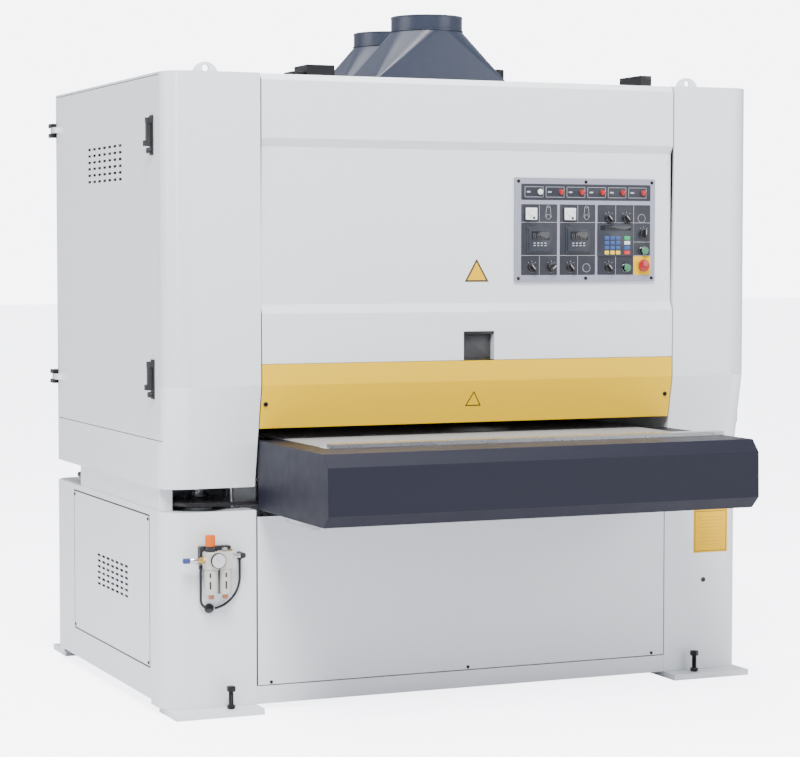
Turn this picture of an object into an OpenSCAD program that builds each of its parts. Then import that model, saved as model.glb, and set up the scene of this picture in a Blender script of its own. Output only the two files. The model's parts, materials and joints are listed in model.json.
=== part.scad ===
// Two-head wide-belt sander: a fixed base with a feed conveyor, and a sanding head that four
// jackscrews lift over it. +X is right, +Y runs with the feed, +Z is up. The origin is on the
// floor at the centre of the housing's plan.

/* [Housing] */
// Width of base and head across the side faces
machine_w = 2120; // [2000:10:2560]
// Length of the head along the feed
head_l = 1380; // [1330:10:1700]
// Height of the head's roof above the floor
head_top = 2040; // [2000:10:2460]
// Height of the head's underside at rest
head_z = 722; // [715:1:740]
// Width of each side column
column_w = 310; // [290:5:380]
// Radius of the columns' upright corners
corner_r = 80; // [60:2:100]
// Thickness of the housing's plates
wall = 6; // [4:0.5:8]
// Height where the column fronts start to slope back
slope_z = 1050; // [1000:5:1100]
// How far the column fronts slope back at the bottom
slope_back = 65; // [40:1:80]

/* [Base] */
// Height of the base columns' top
base_top = 648; // [640:1:652]
// How far the base front stands behind the head front
base_setback = 50; // [40:1:64]
// Thickness of the foot plates
foot_t = 20; // [15:1:25]
// Radius of the levelling bolts
level_bolt_r = 8; // [6:0.5:10]
// Radius of the floor anchor holes
anchor_r = 7; // [5:0.5:9]
// Distance of the anchor holes from the centre line
anchor_x = 962; // [900:1:985]

/* [Conveyor] */
// Height of the belt's upper face
belt_top = 873; // [868:1:876]
// Width of the feed belt
feed_belt_w = 1310; // [1200:5:1330]
// Thickness of the feed belt
feed_belt_t = 3; // [2:0.5:4]
// Radius of the belt rollers
belt_roller_r = 75; // [60:1:76]
// Distance of each belt roller from the machine's centre
belt_roller_y = 945; // [930:5:960]
// Reach of the conveyor covers in front of the head
cover_reach = 565; // [540:5:700]
// Height of the conveyor covers' underside
cover_z = 650; // [645:1:660]

/* [Sanding heads] */
// Feed gap between the belt and the abrasive at rest
feed_gap = 20; // [18:1:40]
// Width of the abrasive belts
abrasive_w = 1330; // [1250:5:1340]
// Radius of the front steel drum
front_drum_r = 90; // [75:1:100]
// Radius of the rear rubber drum
rear_drum_r = 70; // [60:1:76]
// Radius of the tension rollers
tension_r = 45; // [35:1:50]
// Height of the tension rollers' axes
tension_z = 1722; // [1650:5:1800]
// Place of the front drum along the feed
front_drum_y = -340; // [-380:5:-300]
// Place of the rear drum along the feed
rear_drum_y = 200; // [150:5:210]
// Radius of the drum shafts
drum_shaft_r = 25; // [20:1:30]

/* [Lift] */
// Radius of the jackscrews
screw_r = 18; // [15:1:22]
// Distance of the jackscrews from the centre line
screw_x = 907; // [880:1:920]
// Distance of the jackscrews from the machine's centre along the feed
screw_y = 520; // [500:1:530]
// Radius of the lift sprockets
sprocket_r = 97; // [80:1:98]

/* [Doors and panels] */
// Height of the left door's lower edge
door_z = 878; // [850:1:900]
// Distance from the roof to the door's upper edge
door_drop = 10; // [9:1:20]
// Thickness of the door
door_t = 22; // [16:1:30]
// Gap around doors and panels
seam = 3; // [2:0.5:5]

/* [Controls] */
// Width of the control panel
panel_w = 531; // [531:1:580]
// Height of the control panel
panel_h = 347; // [347:1:380]
// Distance of the panel's left edge from the centre line
panel_x = 149; // [80:1:160]
// Height of the panel's lower edge
panel_z = 1375; // [1340:1:1420]
// Thickness of the panel's plate
panel_t = 8; // [5:1:12]
// Running clearance of shafts and screws, per side
fit = 0.05; // [0.02:0.01:0.1]

/* [Hidden] */
$fn = 96;

// Colours
white = [0.84, 0.86, 0.87];
slate = [0.26, 0.27, 0.34];
black = [0.09, 0.09, 0.10];
steel = [0.62, 0.64, 0.66];

// Housing
side_x = machine_w / 2;              // outer side face
in_x = side_x - column_w;            // inner face of the columns
half_l = head_l / 2;
front_y = -half_l;                   // front face of the head
base_front = front_y + base_setback;
base_z = foot_t;
tie = 1;                             // overlap that joins shapes of one solid
floor_plate_t = 12;                  // plate at the head columns' underside
top_plate_t = 10;                    // plate at the base columns' top

// Doors and panels
door_y = half_l - corner_r - 4;      // front and rear door edges
door_top = head_top - door_drop;
hinge_r = 9.7;
hinge_x = side_x + 10;
hinge_y = door_y + 12;
hinge_pin_r = 5;
hinge_h = 50;
hinge_zs = [1025, door_top - 116];
knuckle_h = 20;
handle_reach = 28;                   // how far handles stand off the side faces
handle_y = -(door_y - 66);
handle_h = 126;
handle_w = 30;
handle_zs = [1007, door_top - 249];
handle_pivot_r = 4;
handle_pivot_x = -side_x - 12.5;
vent_cols = 7;
vent_rows = 6;
door_vent = [61.3, 22.2];            // pitch of the slots along Y and Z
base_vent = [54, 19.8];
vent_slot = [38, 9];

// Base panel
side_panel = [-486, 410, 138, 628];  // y from, y to, z from, z to
side_panel_t = 2.5;
foot_y = [-25, 155];                 // foot plate, measured from the head's front face
foot_x = [in_x, side_x - 15];
foot_rear_y = [595, 770];
level_bolt_x = 850;
level_bolt_ys = [front_y + 14, 740];
level_bolt_h = 93;
anchor_ys = [-685, 740];

// Conveyor
roller_z = belt_top - feed_belt_t - belt_roller_r;
belt_skin = 0.3;                     // gap between a belt and its rollers
cover_x = in_x - 5;
cover_front = front_y - cover_reach;
roller_shaft_r = 20;
rail_x = feed_belt_w / 2 + 10;
rail_t = 25;
bed_z = roller_z - belt_roller_r + 4;
bed_y = belt_roller_y - belt_roller_r - 10;
nose_y = front_y - 345;

// Sanding heads
abrasive_t = 1.2;
abrasive_z = belt_top + feed_gap;    // lowest face of the abrasive
front_drum_z = abrasive_z + abrasive_t + belt_skin + front_drum_r;
rear_drum_z = abrasive_z + abrasive_t + belt_skin + rear_drum_r;
drum_half = abrasive_w / 2 + 5;
drum_wall = 16;
beam_w = 70;
beam_z = [1200, 1500];
front_beam_y = front_drum_y;
rear_beam_y = rear_drum_y + 70;
bracket_x = drum_half + 20;
bracket_t = 22;
bracket_half = 35;
nose_r = 20;                         // rounded rear edge of the platen
platen_y = rear_drum_y + 145;
tension_shaft_r = 15;
pulley_r = 60;
pulley_x = in_x + 15;
pulley_w = 30;
vbelt_t = 10;
motor_z = 1480;
motor_r = 110;
motor_x = pulley_x + pulley_w + 20;
motor_l = 180;

// Lift
screw_z = [560, 1010];
sprocket_z = [662, 680];
hub_r = 45;
hub_z = [655, 690];
chain_t = 8;
chain_gap = 1.5;
chain_z = [665, 677];
nut_r = 32;
nut_h = 56;
skirt_x = side_x - wall - 4;
skirt_t = 4;
skirt_y = [-564, 360];
skirt_top = 840;

// Hoods on the roof
hood_w = 500;
hood_d = 260;
hood_t = 3;
collar_r = 121.5;
collar_z = [head_top + 182, head_top + 233];
hood_at = [[-20, front_drum_y], [88, rear_drum_y + 60]];
duct_cut = 15;                       // how far the roof cut stays inside the hood

// Control panel, measured from the panel's lower left corner
panel_y = front_y + 15;              // recessed face of the fascia
control_y = panel_y - panel_t;       // face of the panel
selector_at = [[63, 47], [136, 47], [208, 47], [353, 213], [420, 213], [487, 163], [353, 47]];
start_at = [[487, 105], [420, 47]];
stop_at = [481, 54];
lamp_at = [for (i = [0:5]) [92.7 + 78.4 * i, 297.5]];
meter_at = [[58, 227], [203, 227]];
timer_at = [[91, 141], [236, 141]];
keypad_at = [378, 141];
selector_r = 15;
start_r = 15;
stop_r = 21;
button_stem_r = 9;
stem_l = 30;
button_gap = 8;                      // air between a button's head and the panel

// Air service unit on the left base column
air_y = base_front - 45;
air_at = [-896, 500];
knob_x = -921;
knob_r = 16;
hose_r = 4;
hose_y = base_front - 14;
hose_bend_r = 99;
hose_rise_r = 32;
hose_drop_x = -812;
grommet_z = 341;
knob_bore_r = 6;

// ---------- helpers ----------

// Extrudes an outline drawn in Y and Z along X, centred on the machine
module along_x(w) rotate([90, 0, 90]) linear_extrude(w, center = true) children();

// A cylinder along X that starts at x
module rod_x(x, y, z, r, l) translate([x, y, z]) rotate([0, 90, 0]) cylinder(r = r, h = l);

// A cylinder along Y that starts at y
module rod_y(x, y, z, r, l) translate([x, y, z]) rotate([-90, 0, 0]) cylinder(r = r, h = l);

// A box between two corners
module block(a, b) translate(a) cube(b - a);

// Plan of a left column with its two outer corners rounded
module column_plan(x_out, x_in, y0, y1, r) {
    union() {
        translate([-x_out + r, y0]) square([x_out - r - x_in, y1 - y0]);
        translate([-x_out, y0 + r]) square([r + tie, y1 - y0 - 2 * r]);
        for (y = [y0 + r, y1 - r]) translate([-x_out + r, y]) circle(r);
    }
}

// Closed loop around two rollers, as an area in the plane of the loop
module span(p, rp, q, rq) {
    d = norm(q - p);
    a = atan2(q[1] - p[1], q[0] - p[0]);
    b = acos((rp - rq) / d);
    polygon([for (e = [[p, rp, b], [p, rp, -b], [q, rq, -b], [q, rq, b]])
        e[0] + e[1] * [cos(a + e[2]), sin(a + e[2])]]);
}

module loop_area(rollers, grow) {
    n = len(rollers);
    for (i = [0:n - 1]) {
        p = rollers[i];
        q = rollers[(i + 1) % n];
        translate(p[0]) circle(p[1] + grow);
        span(p[0], p[1] + grow, q[0], q[1] + grow);
    }
    if (n > 2) polygon([for (r = rollers) r[0]]);
}

// Belt around rollers given as [[y, z], radius]
module belt_loop(rollers, gap, t, w) {
    along_x(w) difference() {
        loop_area(rollers, gap + t);
        loop_area(rollers, gap);
    }
}

// Vent slots centred on the outline's origin
module vents(pitch) {
    for (i = [0:vent_cols - 1], j = [0:vent_rows - 1])
        translate([(i - (vent_cols - 1) / 2) * pitch[0], (j - (vent_rows - 1) / 2) * pitch[1]])
            square(vent_slot, center = true);
}

// ---------- base ----------

module base_column() {
    color(white) union() {
        difference() {
            translate([0, 0, base_z]) linear_extrude(base_top - base_z)
                column_plan(side_x, in_x, base_front, half_l, corner_r);
            translate([0, 0, base_z - tie]) linear_extrude(base_top - top_plate_t - base_z + tie)
                column_plan(side_x - wall, in_x + wall, base_front + wall, half_l - wall,
                    corner_r - wall);
            // raised lower edge between the feet
            block([-side_x - tie, foot_y[1] + front_y + 40, base_z - tie],
                [-side_x + wall + tie, foot_rear_y[0] - 30, base_z + 15]);
            // recess and window behind the side panel
            block([-side_x - tie, side_panel[0] - seam, side_panel[2] - seam],
                [-side_x + side_panel_t, side_panel[1] + seam, side_panel[3] + seam]);
            block([-side_x - tie, side_panel[0] + 25, side_panel[2] + 25],
                [-side_x + wall + tie, side_panel[1] - 25, side_panel[3] - 25]);
            for (s = [-1, 1]) translate([-screw_x, s * screw_y, base_top - 50])
                cylinder(r = screw_r + fit, h = 60);
        }
        for (s = [-1, 1]) translate([-screw_x, s * screw_y, base_top - tie]) difference() {
            cylinder(r = hub_r, h = hub_z[0] - base_top + tie - 0.3);
            translate([0, 0, -tie]) cylinder(r = screw_r + fit, h = 60);
        }
    }
}

module base_left_housing() base_column();

module base_right_housing() mirror([1, 0, 0]) base_column();

module base_cross_beams() color(white) {
    for (y = [base_front, half_l - 80]) block([-in_x, y, base_z], [in_x, y + 80, base_z + 58]);
    for (s = [-1, 1]) union() {
        block([-in_x, s * 350 - 40, 580], [in_x, s * 350 + 40, base_top - 8]);
        for (t = [-1, 1]) block([t * (rail_x + 35) - 40, s * 350 - 40, base_top - 9],
            [t * (rail_x + 35) + 40, s * 350 + 40, bed_z]);
    }
}

module foot_plates() color(white) {
    for (s = [-1, 1], i = [0, 1]) {
        ys = i == 0 ? foot_y + [front_y, front_y] : foot_rear_y;
        difference() {
            block([s > 0 ? foot_x[0] : -foot_x[1], ys[0], 0],
                [s > 0 ? foot_x[1] : -foot_x[0], ys[1], foot_t]);
            translate([s * level_bolt_x, level_bolt_ys[i], -tie])
                cylinder(r = level_bolt_r + fit, h = foot_t + 2 * tie);
            translate([s * anchor_x, anchor_ys[i], -tie]) cylinder(r = anchor_r, h = foot_t + 2 * tie);
        }
    }
}

module levelling_bolts() color(black) {
    for (s = [-1, 1], y = level_bolt_ys) translate([s * level_bolt_x, y, 0]) {
        cylinder(r = level_bolt_r, h = level_bolt_h - 8);
        translate([0, 0, level_bolt_h - 16]) cylinder(r = 14.5, h = 16);
        translate([0, 0, foot_t]) cylinder(r = 13.5, h = 13, $fn = 6);
    }
}

module base_end_panels() color(white) {
    for (y = [base_front + 1, half_l - 4]) block([-in_x + 5, y, base_z + 61], [in_x - 3, y + 3, base_top - 22]);
}

module base_side_panels() color(white) {
    for (s = [-1, 1]) mirror([s > 0 ? 1 : 0, 0, 0])
        translate([-side_x, 0, 0]) rotate([90, 0, 90]) linear_extrude(side_panel_t) difference() {
            translate([side_panel[0], side_panel[2]])
                square([side_panel[1] - side_panel[0], side_panel[3] - side_panel[2]]);
            translate([-64, 383]) vents(base_vent);
        }
}

module gap_skirts() color(white) {
    for (s = [0, 1]) mirror([s, 0, 0]) {
        block([-skirt_x, skirt_y[0], base_top], [-skirt_x + skirt_t, skirt_y[1], skirt_top]);
        block([-skirt_x, skirt_y[0], base_top], [-skirt_x + 44, skirt_y[0] + skirt_t, skirt_top]);
    }
}

// Countersunk panel screws: four on each side panel, three on each end panel
module panel_screws() color(black) {
    for (s = [0, 1]) mirror([s, 0, 0])
        for (y = [side_panel[0] + 12, side_panel[1] - 12], z = [side_panel[2] + 12, side_panel[3] - 12])
            rod_x(-side_x - 2, y, z, 5, 2);
    for (x = [-700, 0, 700], y = [base_front - 1, half_l - 1]) rod_y(x, y, base_z + 69, 5, 2);
}

// ---------- conveyor ----------

module conveyor_bed() color(steel) {
    difference() {
        union() {
            block([-rail_x, -bed_y, bed_z], [rail_x, bed_y, bed_z + 12]);
            block([-feed_belt_w / 2 + 5, -bed_y, bed_z + 12 - tie],
                [feed_belt_w / 2 - 5, bed_y, belt_top - feed_belt_t - belt_skin]);
            for (s = [-1, 1]) block([s > 0 ? rail_x - tie : -rail_x - rail_t, -cover_rail(), bed_z],
                [s > 0 ? rail_x + rail_t : -rail_x + tie, cover_rail(), belt_top - 12]);
        }
        block([-feed_belt_w / 2 + 15, -bed_y + 20, bed_z + 12],
            [feed_belt_w / 2 - 15, bed_y - 20, belt_top - 15]);
        for (s = [-1, 1]) rod_x(-in_x, s * belt_roller_y, roller_z, roller_shaft_r + fit, 2 * in_x);
    }
    // bright bar where the workpiece runs on to the belt, and its twin at the outfeed
    for (s = [0, 1]) mirror([0, s, 0])
        block([-feed_belt_w / 2 + 10, nose_y, belt_top - 1], [cover_x, nose_y + 45, belt_top + 12]);
}
function cover_rail() = belt_roller_y + 85;

module cover_outline() {
    polygon([[base_front - 3, belt_top - 1], [front_y - 525, belt_top - 1],
        [cover_front + 3, belt_top - 40], [cover_front, cover_z + 38],
        [cover_front + 41, cover_z], [base_front - 3, cover_z]]);
}

module conveyor_covers() color(slate) {
    for (s = [0, 1]) mirror([0, s, 0]) difference() {
        along_x(2 * cover_x) cover_outline();
        block([-rail_x - rail_t - 1, cover_front + 50, cover_z + 5],
            [rail_x + rail_t + 1, base_front, belt_top - 8]);
        block([-feed_belt_w / 2 - 4, nose_y + 20, belt_top - 9],
            [feed_belt_w / 2 + 4, base_front, belt_top]);
    }
}

module conveyor_belt() color([0.73, 0.74, 0.75])
    belt_loop([for (s = [-1, 1]) [[s * belt_roller_y, roller_z], belt_roller_r]],
        belt_skin, feed_belt_t - belt_skin, feed_belt_w);

module belt_roller(y) color(steel) {
    rod_x(-feed_belt_w / 2, y, roller_z, belt_roller_r, feed_belt_w);
    rod_x(-rail_x - rail_t, y, roller_z, roller_shaft_r, 2 * (rail_x + rail_t));
}

module conveyor_idler_roller() belt_roller(-belt_roller_y);

module conveyor_drive_roller() belt_roller(belt_roller_y);

// Lift gearmotor in the right base column and conveyor gearmotor at the outfeed
module gearmotors() color([0.25, 0.32, 0.42]) {
    translate([screw_x + 58, -250, 0]) union() {
        translate([0, 0, 400]) cylinder(r = 60, h = 150);
        translate([0, 0, 549]) cylinder(r = 75, h = base_top - top_plate_t - 549);
    }
    translate([0, belt_roller_y, roller_z]) union() {
        translate([cover_x, 0, 0]) rotate([0, 90, 0]) cylinder(r = 55, h = 20);
        block([cover_x + 19, -60, -90], [cover_x + 130, 60, 60]);
        rod_x(cover_x + 129, 0, -30, 62, 170);
    }
}

module tracking_cylinder() color(steel) union() {
    rod_y(-cover_x + 55, front_y - 400, cover_z - 16, 15, 320);
    for (y = [front_y - 380, front_y - 100])
        block([-cover_x + 43, y - 12, cover_z - 16], [-cover_x + 67, y + 12, cover_z]);
}

// ---------- lift ----------

module lift_chain() color(black) {
    translate([0, 0, chain_z[0]]) linear_extrude(chain_z[1] - chain_z[0]) difference() {
        chain_area(sprocket_r + chain_gap + chain_t);
        chain_area(sprocket_r + chain_gap);
    }
}

module chain_area(r) {
    square([2 * screw_x, 2 * (screw_y + r)], center = true);
    square([2 * (screw_x + r), 2 * screw_y], center = true);
    for (s = [-1, 1], t = [-1, 1]) translate([s * screw_x, t * screw_y]) circle(r);
}

module jack_screw(sx, sy) color(steel) translate([sx * screw_x, sy * screw_y, 0]) {
    translate([0, 0, screw_z[0]]) cylinder(r = screw_r, h = screw_z[1] - screw_z[0]);
    translate([0, 0, hub_z[0]]) cylinder(r = hub_r, h = hub_z[1] - hub_z[0]);
    translate([0, 0, sprocket_z[0]]) cylinder(r = sprocket_r, h = sprocket_z[1] - sprocket_z[0]);
}

module lift_nuts() color("goldenrod") {
    for (s = [-1, 1], t = [-1, 1]) translate([s * screw_x, t * screw_y, head_z]) difference() {
        union() {
            cylinder(r = nut_r, h = nut_h);
            translate([0, 0, floor_plate_t]) cylinder(r = nut_r + 14, h = 10);
        }
        translate([0, 0, -tie]) cylinder(r = screw_r + fit, h = nut_h + 2 * tie);
    }
}

module limit_rods() color(steel) {
    for (s = [-1, 1]) translate([s * (screw_x - sprocket_r - 10), -screw_y - 20, 0]) {
        translate([0, 0, base_top]) cylinder(r = 5, h = 190);
        translate([0, 0, base_top]) cylinder(r = 9, h = 8, $fn = 6);
    }
}

// ---------- head ----------

// Solid of a head column, shrunk by d on every upright face
module column_solid(d, z0, z1) {
    translate([0, 0, slope_z]) linear_extrude(z1 - slope_z)
        column_plan(side_x - d, in_x + d, front_y + d, half_l - d, corner_r - d);
    hull() {
        translate([0, 0, slope_z]) linear_extrude(tie)
            column_plan(side_x - d, in_x + d, front_y + d, half_l - d, corner_r - d, $fn = 32);
        translate([0, 0, z0]) linear_extrude(tie)
            column_plan(side_x - d, in_x + d, front_y + slope_back + d, half_l - d, corner_r - d, $fn = 32);
    }
}

module head_column() {
    color(white) union() {
        difference() {
            column_solid(0, head_z, head_top);
            column_solid(wall, head_z - tie, head_top - wall);
            // opening behind the door or side panel
            block([-side_x - tie, -door_y - seam, door_z - seam],
                [-side_x + wall + 10, door_y + seam, door_top + seam]);
            children();
        }
        // plate that carries the lift nuts
        difference() {
            block([-skirt_x + 14, skirt_y[0] + skirt_t + 2, head_z], [-in_x - wall + tie, half_l - 50, head_z + floor_plate_t]);
            for (t = [-1, 1]) translate([-screw_x, t * screw_y, head_z - tie])
                cylinder(r = nut_r, h = floor_plate_t + 2 * tie);
            translate([-screw_x + sprocket_r + 10, -screw_y - 20, head_z - tie]) cylinder(r = 8, h = 40);
        }
        // lifting lugs
        for (t = [-1, 1]) translate([-883, t * 540, head_top - tie]) rotate([90, 0, 0])
            linear_extrude(12, center = true) difference() {
                circle(42);
                translate([0, 22]) circle(11);
                translate([-50, -100]) square([100, 100]);
            }
    }
}

module head_left_housing() head_column()
    block([-in_x - wall - tie, -540, head_z + 60], [-in_x + tie, 540, head_top - 60]);

module head_right_housing() mirror([1, 0, 0]) head_column()
    union() {
        rod_x(-in_x - wall - tie, front_drum_y, front_drum_z, drum_shaft_r + 12, wall + 2 * tie);
        rod_x(-in_x - wall - tie, rear_drum_y, rear_drum_z, drum_shaft_r + 12, wall + 2 * tie);
    }

fascia_t = 5;
fascia_z = 1118;
fascia_x = in_x - 4;
folds = [[0, fascia_z], [0, 1278], [15, 1307], [15, 1809], [0, 1836], [0, head_top - 20], [20, head_top]];

module front_fascia() color(white) difference() {
    union() {
        along_x(2 * fascia_x) polygon(concat(
            [for (p = folds) [front_y + p[0], p[1]]],
            [for (i = [len(folds) - 1:-1:0]) [front_y + folds[i][0] + fascia_t, folds[i][1] - (i == len(folds) - 1 ? fascia_t : 0)]]));
        block([-46, front_y + fascia_t - tie, fascia_z], [77, front_y + 36, fascia_z + 101]);
    }
    block([-40, front_y - tie, fascia_z - tie], [71, front_y + 30, fascia_z + 95]);
    // opening behind the control panel
    block([panel_x + 25, front_y - tie, panel_z + 25], [panel_x + panel_w - 25, front_y + 30, panel_z + panel_h - 25]);
}

module rear_fascia() color(white)
    block([-fascia_x, half_l - fascia_t, 960], [fascia_x, half_l, head_top - wall - 1]);

module top_cover() color(white) difference() {
    block([-in_x, front_y + 26, head_top - wall], [in_x, half_l, head_top]);
    for (h = hood_at) block([h[0] - hood_w / 2 + duct_cut, h[1] - hood_d / 2 + duct_cut, head_top - wall - tie],
        [h[0] + hood_w / 2 - duct_cut, h[1] + hood_d / 2 - duct_cut, head_top + tie]);
}

function slope_at(z) = slope_back * (slope_z - z) / (slope_z - head_z);
guard_z = 911;

module feed_guard() color([0.89, 0.76, 0.23])
    along_x(2 * fascia_x) polygon([
        [front_y, fascia_z - 1], [front_y, slope_z], [front_y + slope_at(guard_z), guard_z],
        [front_y + slope_at(guard_z) + 22, guard_z + 2], [front_y + slope_at(guard_z) + 22, guard_z + 6],
        [front_y + slope_at(guard_z) + 5, guard_z + 4], [front_y + 4, slope_z], [front_y + 4, fascia_z - 1]]);

module hood_solid(grow) {
    hull() {
        translate([-hood_w / 2 - grow, -hood_d / 2 - grow, head_top]) cube([hood_w + 2 * grow, hood_d + 2 * grow, 2]);
        translate([0, 0, collar_z[0] - 1]) cylinder(r = collar_r + grow, h = 1, $fn = 64);
    }
}

module dust_hoods() color([0.32, 0.35, 0.45]) {
    for (h = hood_at) translate([h[0], h[1], 0]) {
        difference() {
            union() {
                hood_solid(0);
                translate([-hood_w / 2 - 20, -hood_d / 2 - 20, head_top]) cube([hood_w + 40, hood_d + 40, 3]);
            }
            translate([0, 0, -0.01]) hood_solid(-hood_t);
            translate([-hood_w / 2 + hood_t, -hood_d / 2 + hood_t, head_top - tie])
                cube([hood_w - 2 * hood_t, hood_d - 2 * hood_t, 2]);
            translate([0, 0, collar_z[0] - 2]) cylinder(r = collar_r - hood_t, h = 9);
        }
        translate([0, 0, collar_z[0]]) difference() {
            cylinder(r = collar_r, h = collar_z[1] - collar_z[0]);
            translate([0, 0, -tie]) cylinder(r = collar_r - hood_t, h = collar_z[1] - collar_z[0] + 2 * tie);
        }
    }
}

// Cable boxes and a vent stub on the roof
module roof_fittings() color(black) {
    block([-544, -430, head_top], [-502, -350, head_top + 30]);
    block([-500, -450, head_top], [-401, -330, head_top + 52]);
    translate([311, -190, head_top]) cylinder(r = 31.5, h = 77);
    block([700, -540, head_top], [745, -390, head_top + 45]);
}

module side_skin(x0, t) {
    translate([x0, 0, 0]) rotate([90, 0, 90]) linear_extrude(t) difference() {
        translate([-door_y, door_z]) square([2 * door_y, door_top - door_z]);
        translate([0, 1771]) vents(door_vent);
    }
}

// Folded sheet panel with a rim, shared by the door and the right panel
module side_sheet() {
    side_skin(-side_x, 3);
    difference() {
        block([-side_x + 2, -door_y, door_z], [-side_x + door_t, door_y, door_top]);
        block([-side_x, -door_y + 3, door_z + 3], [-side_x + door_t + tie, door_y - 3, door_top - 3]);
    }
}

module left_door() color(white) {
    difference() {
        union() {
            side_sheet();
            for (z = hinge_zs) {
                block([-hinge_x - hinge_r + 1, hinge_y - 52, z - knuckle_h / 2 + 0.3],
                    [-side_x + tie, hinge_y - 13, z + knuckle_h / 2 - 0.3]);
                block([-hinge_x - hinge_r + 1, hinge_y - 20, z - knuckle_h / 2 + 0.3],
                    [-hinge_x, hinge_y, z + knuckle_h / 2 - 0.3]);
                translate([-hinge_x, hinge_y, z - knuckle_h / 2 + 0.3]) cylinder(r = hinge_r, h = knuckle_h - 0.6);
            }
        }
        for (z = hinge_zs) translate([-hinge_x, hinge_y, z - hinge_h]) cylinder(r = hinge_pin_r + fit, h = 2 * hinge_h);
        // holes for the handle spindles
        for (z = handle_zs) rod_x(-side_x - tie, handle_y, z + handle_h - 16, 9, 5);
    }
}

module door_hinges() color(black) {
    for (z = hinge_zs) union() {
        for (s = [-1, 1]) {
            z0 = s > 0 ? z + knuckle_h / 2 : z - hinge_h / 2;
            translate([-hinge_x, hinge_y, z0]) cylinder(r = hinge_r, h = (hinge_h - knuckle_h) / 2);
            block([-hinge_x - hinge_r + 1, hinge_y, z0],
                [-side_x + 2, hinge_y + 42, z0 + (hinge_h - knuckle_h) / 2]);
        }
        block([-hinge_x, hinge_y + 14, z - hinge_h / 2], [-side_x + 12, hinge_y + 42, z + hinge_h / 2]);
        translate([-hinge_x, hinge_y, z - hinge_h / 2]) cylinder(r = hinge_pin_r, h = hinge_h);
    }
}

// Escutcheon of a swing handle with two ears that hold the lever's pin, and its lock
module handle_plate(z) {
    pz = z + handle_h - 16;
    block([-side_x - 5, handle_y - handle_w / 2, z], [-side_x, handle_y + handle_w / 2, z + handle_h]);
    rod_x(-side_x - tie, handle_y, pz, 8, 30);
    difference() {
        for (s = [-1, 1]) block([-side_x - 19, handle_y + s * (handle_w / 2 - 2) - 2, pz - 9],
            [-side_x - 4, handle_y + s * (handle_w / 2 - 2) + 2, pz + 9]);
        rod_y(handle_pivot_x, handle_y - handle_w, pz, handle_pivot_r + fit, 2 * handle_w);
    }
    rod_x(-side_x - 18, handle_y, z + 14, 9, 14);
}

module handle_plates() color(black) for (z = handle_zs) union() handle_plate(z);

module door_handle(z) color([0.14, 0.14, 0.15]) {
    pz = z + handle_h - 16;
    w = handle_w - 10;
    union() {
        rod_y(handle_pivot_x, handle_y - handle_w / 2, pz, handle_pivot_r, handle_w);
        rod_y(handle_pivot_x, handle_y - w / 2, pz, 7, w);
        block([handle_pivot_x - 7, handle_y - w / 2, z + 28], [handle_pivot_x + 4, handle_y + w / 2, pz]);
        block([-side_x - handle_reach, handle_y - w / 2, z + 28], [handle_pivot_x, handle_y + w / 2, z + 46]);
    }
}

module door_handle_upper() door_handle(handle_zs[1]);

module door_handle_lower() door_handle(handle_zs[0]);

module right_side_panel() color(white) mirror([1, 0, 0]) union() {
    side_sheet();
    for (z = handle_zs) {
        block([-side_x - handle_reach, handle_y - 6, z], [-side_x - handle_reach + 10, handle_y + 6, z + handle_h]);
        for (dz = [0, handle_h - 12]) block([-side_x - handle_reach, handle_y - 6, z + dz],
            [-side_x + tie, handle_y + 6, z + dz + 12]);
    }
}

// ---------- sanding heads ----------

front_loop = [[[front_drum_y, front_drum_z], front_drum_r], [[front_beam_y, tension_z], tension_r]];
rear_loop = [[[rear_drum_y, rear_drum_z], rear_drum_r],
    [[platen_y, abrasive_z + abrasive_t + belt_skin + nose_r], nose_r],
    [[rear_beam_y, tension_z], tension_r]];

module end_plate(x, y_drum, z_drum, y_beam) {
    difference() {
        union() {
            block([x, y_drum - bracket_half, z_drum - bracket_half], [x + bracket_t, y_beam + bracket_half, beam_z[0] + 1]);
            block([x, y_beam - bracket_half, beam_z[0]], [x + bracket_t, y_beam + bracket_half, tension_z + bracket_half]);
        }
        rod_x(x - tie, y_drum, z_drum, drum_shaft_r + fit, bracket_t + 2 * tie);
        rod_x(x - tie, y_beam, tension_z, tension_shaft_r + fit, bracket_t + 2 * tie);
    }
}

module head_frame(y_drum, z_drum, y_beam) {
    block([-bracket_x, y_beam - beam_w / 2, beam_z[0]], [in_x, y_beam + beam_w / 2, beam_z[1]]);
    for (x = [-bracket_x - bracket_t, bracket_x]) end_plate(x, y_drum, z_drum, y_beam);
}

module head_beams() color([0.45, 0.47, 0.50]) {
    head_frame(front_drum_y, front_drum_z, front_beam_y);
    union() {
        head_frame(rear_drum_y, rear_drum_z, rear_beam_y);
        // platen under the rear belt
        block([-drum_half, platen_y - 55, rear_loop[1][0][1] - nose_r], [drum_half, platen_y, rear_loop[1][0][1] + nose_r]);
        rod_x(-drum_half, platen_y, rear_loop[1][0][1], nose_r, 2 * drum_half);
        block([-drum_half, platen_y - 55, rear_loop[1][0][1]], [drum_half, platen_y - 35, beam_z[0] + 1]);
    }
}

module sanding_belts() color([0.45, 0.27, 0.18]) {
    belt_loop(front_loop, belt_skin, abrasive_t, abrasive_w);
    belt_loop(rear_loop, belt_skin, abrasive_t, abrasive_w);
}

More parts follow.
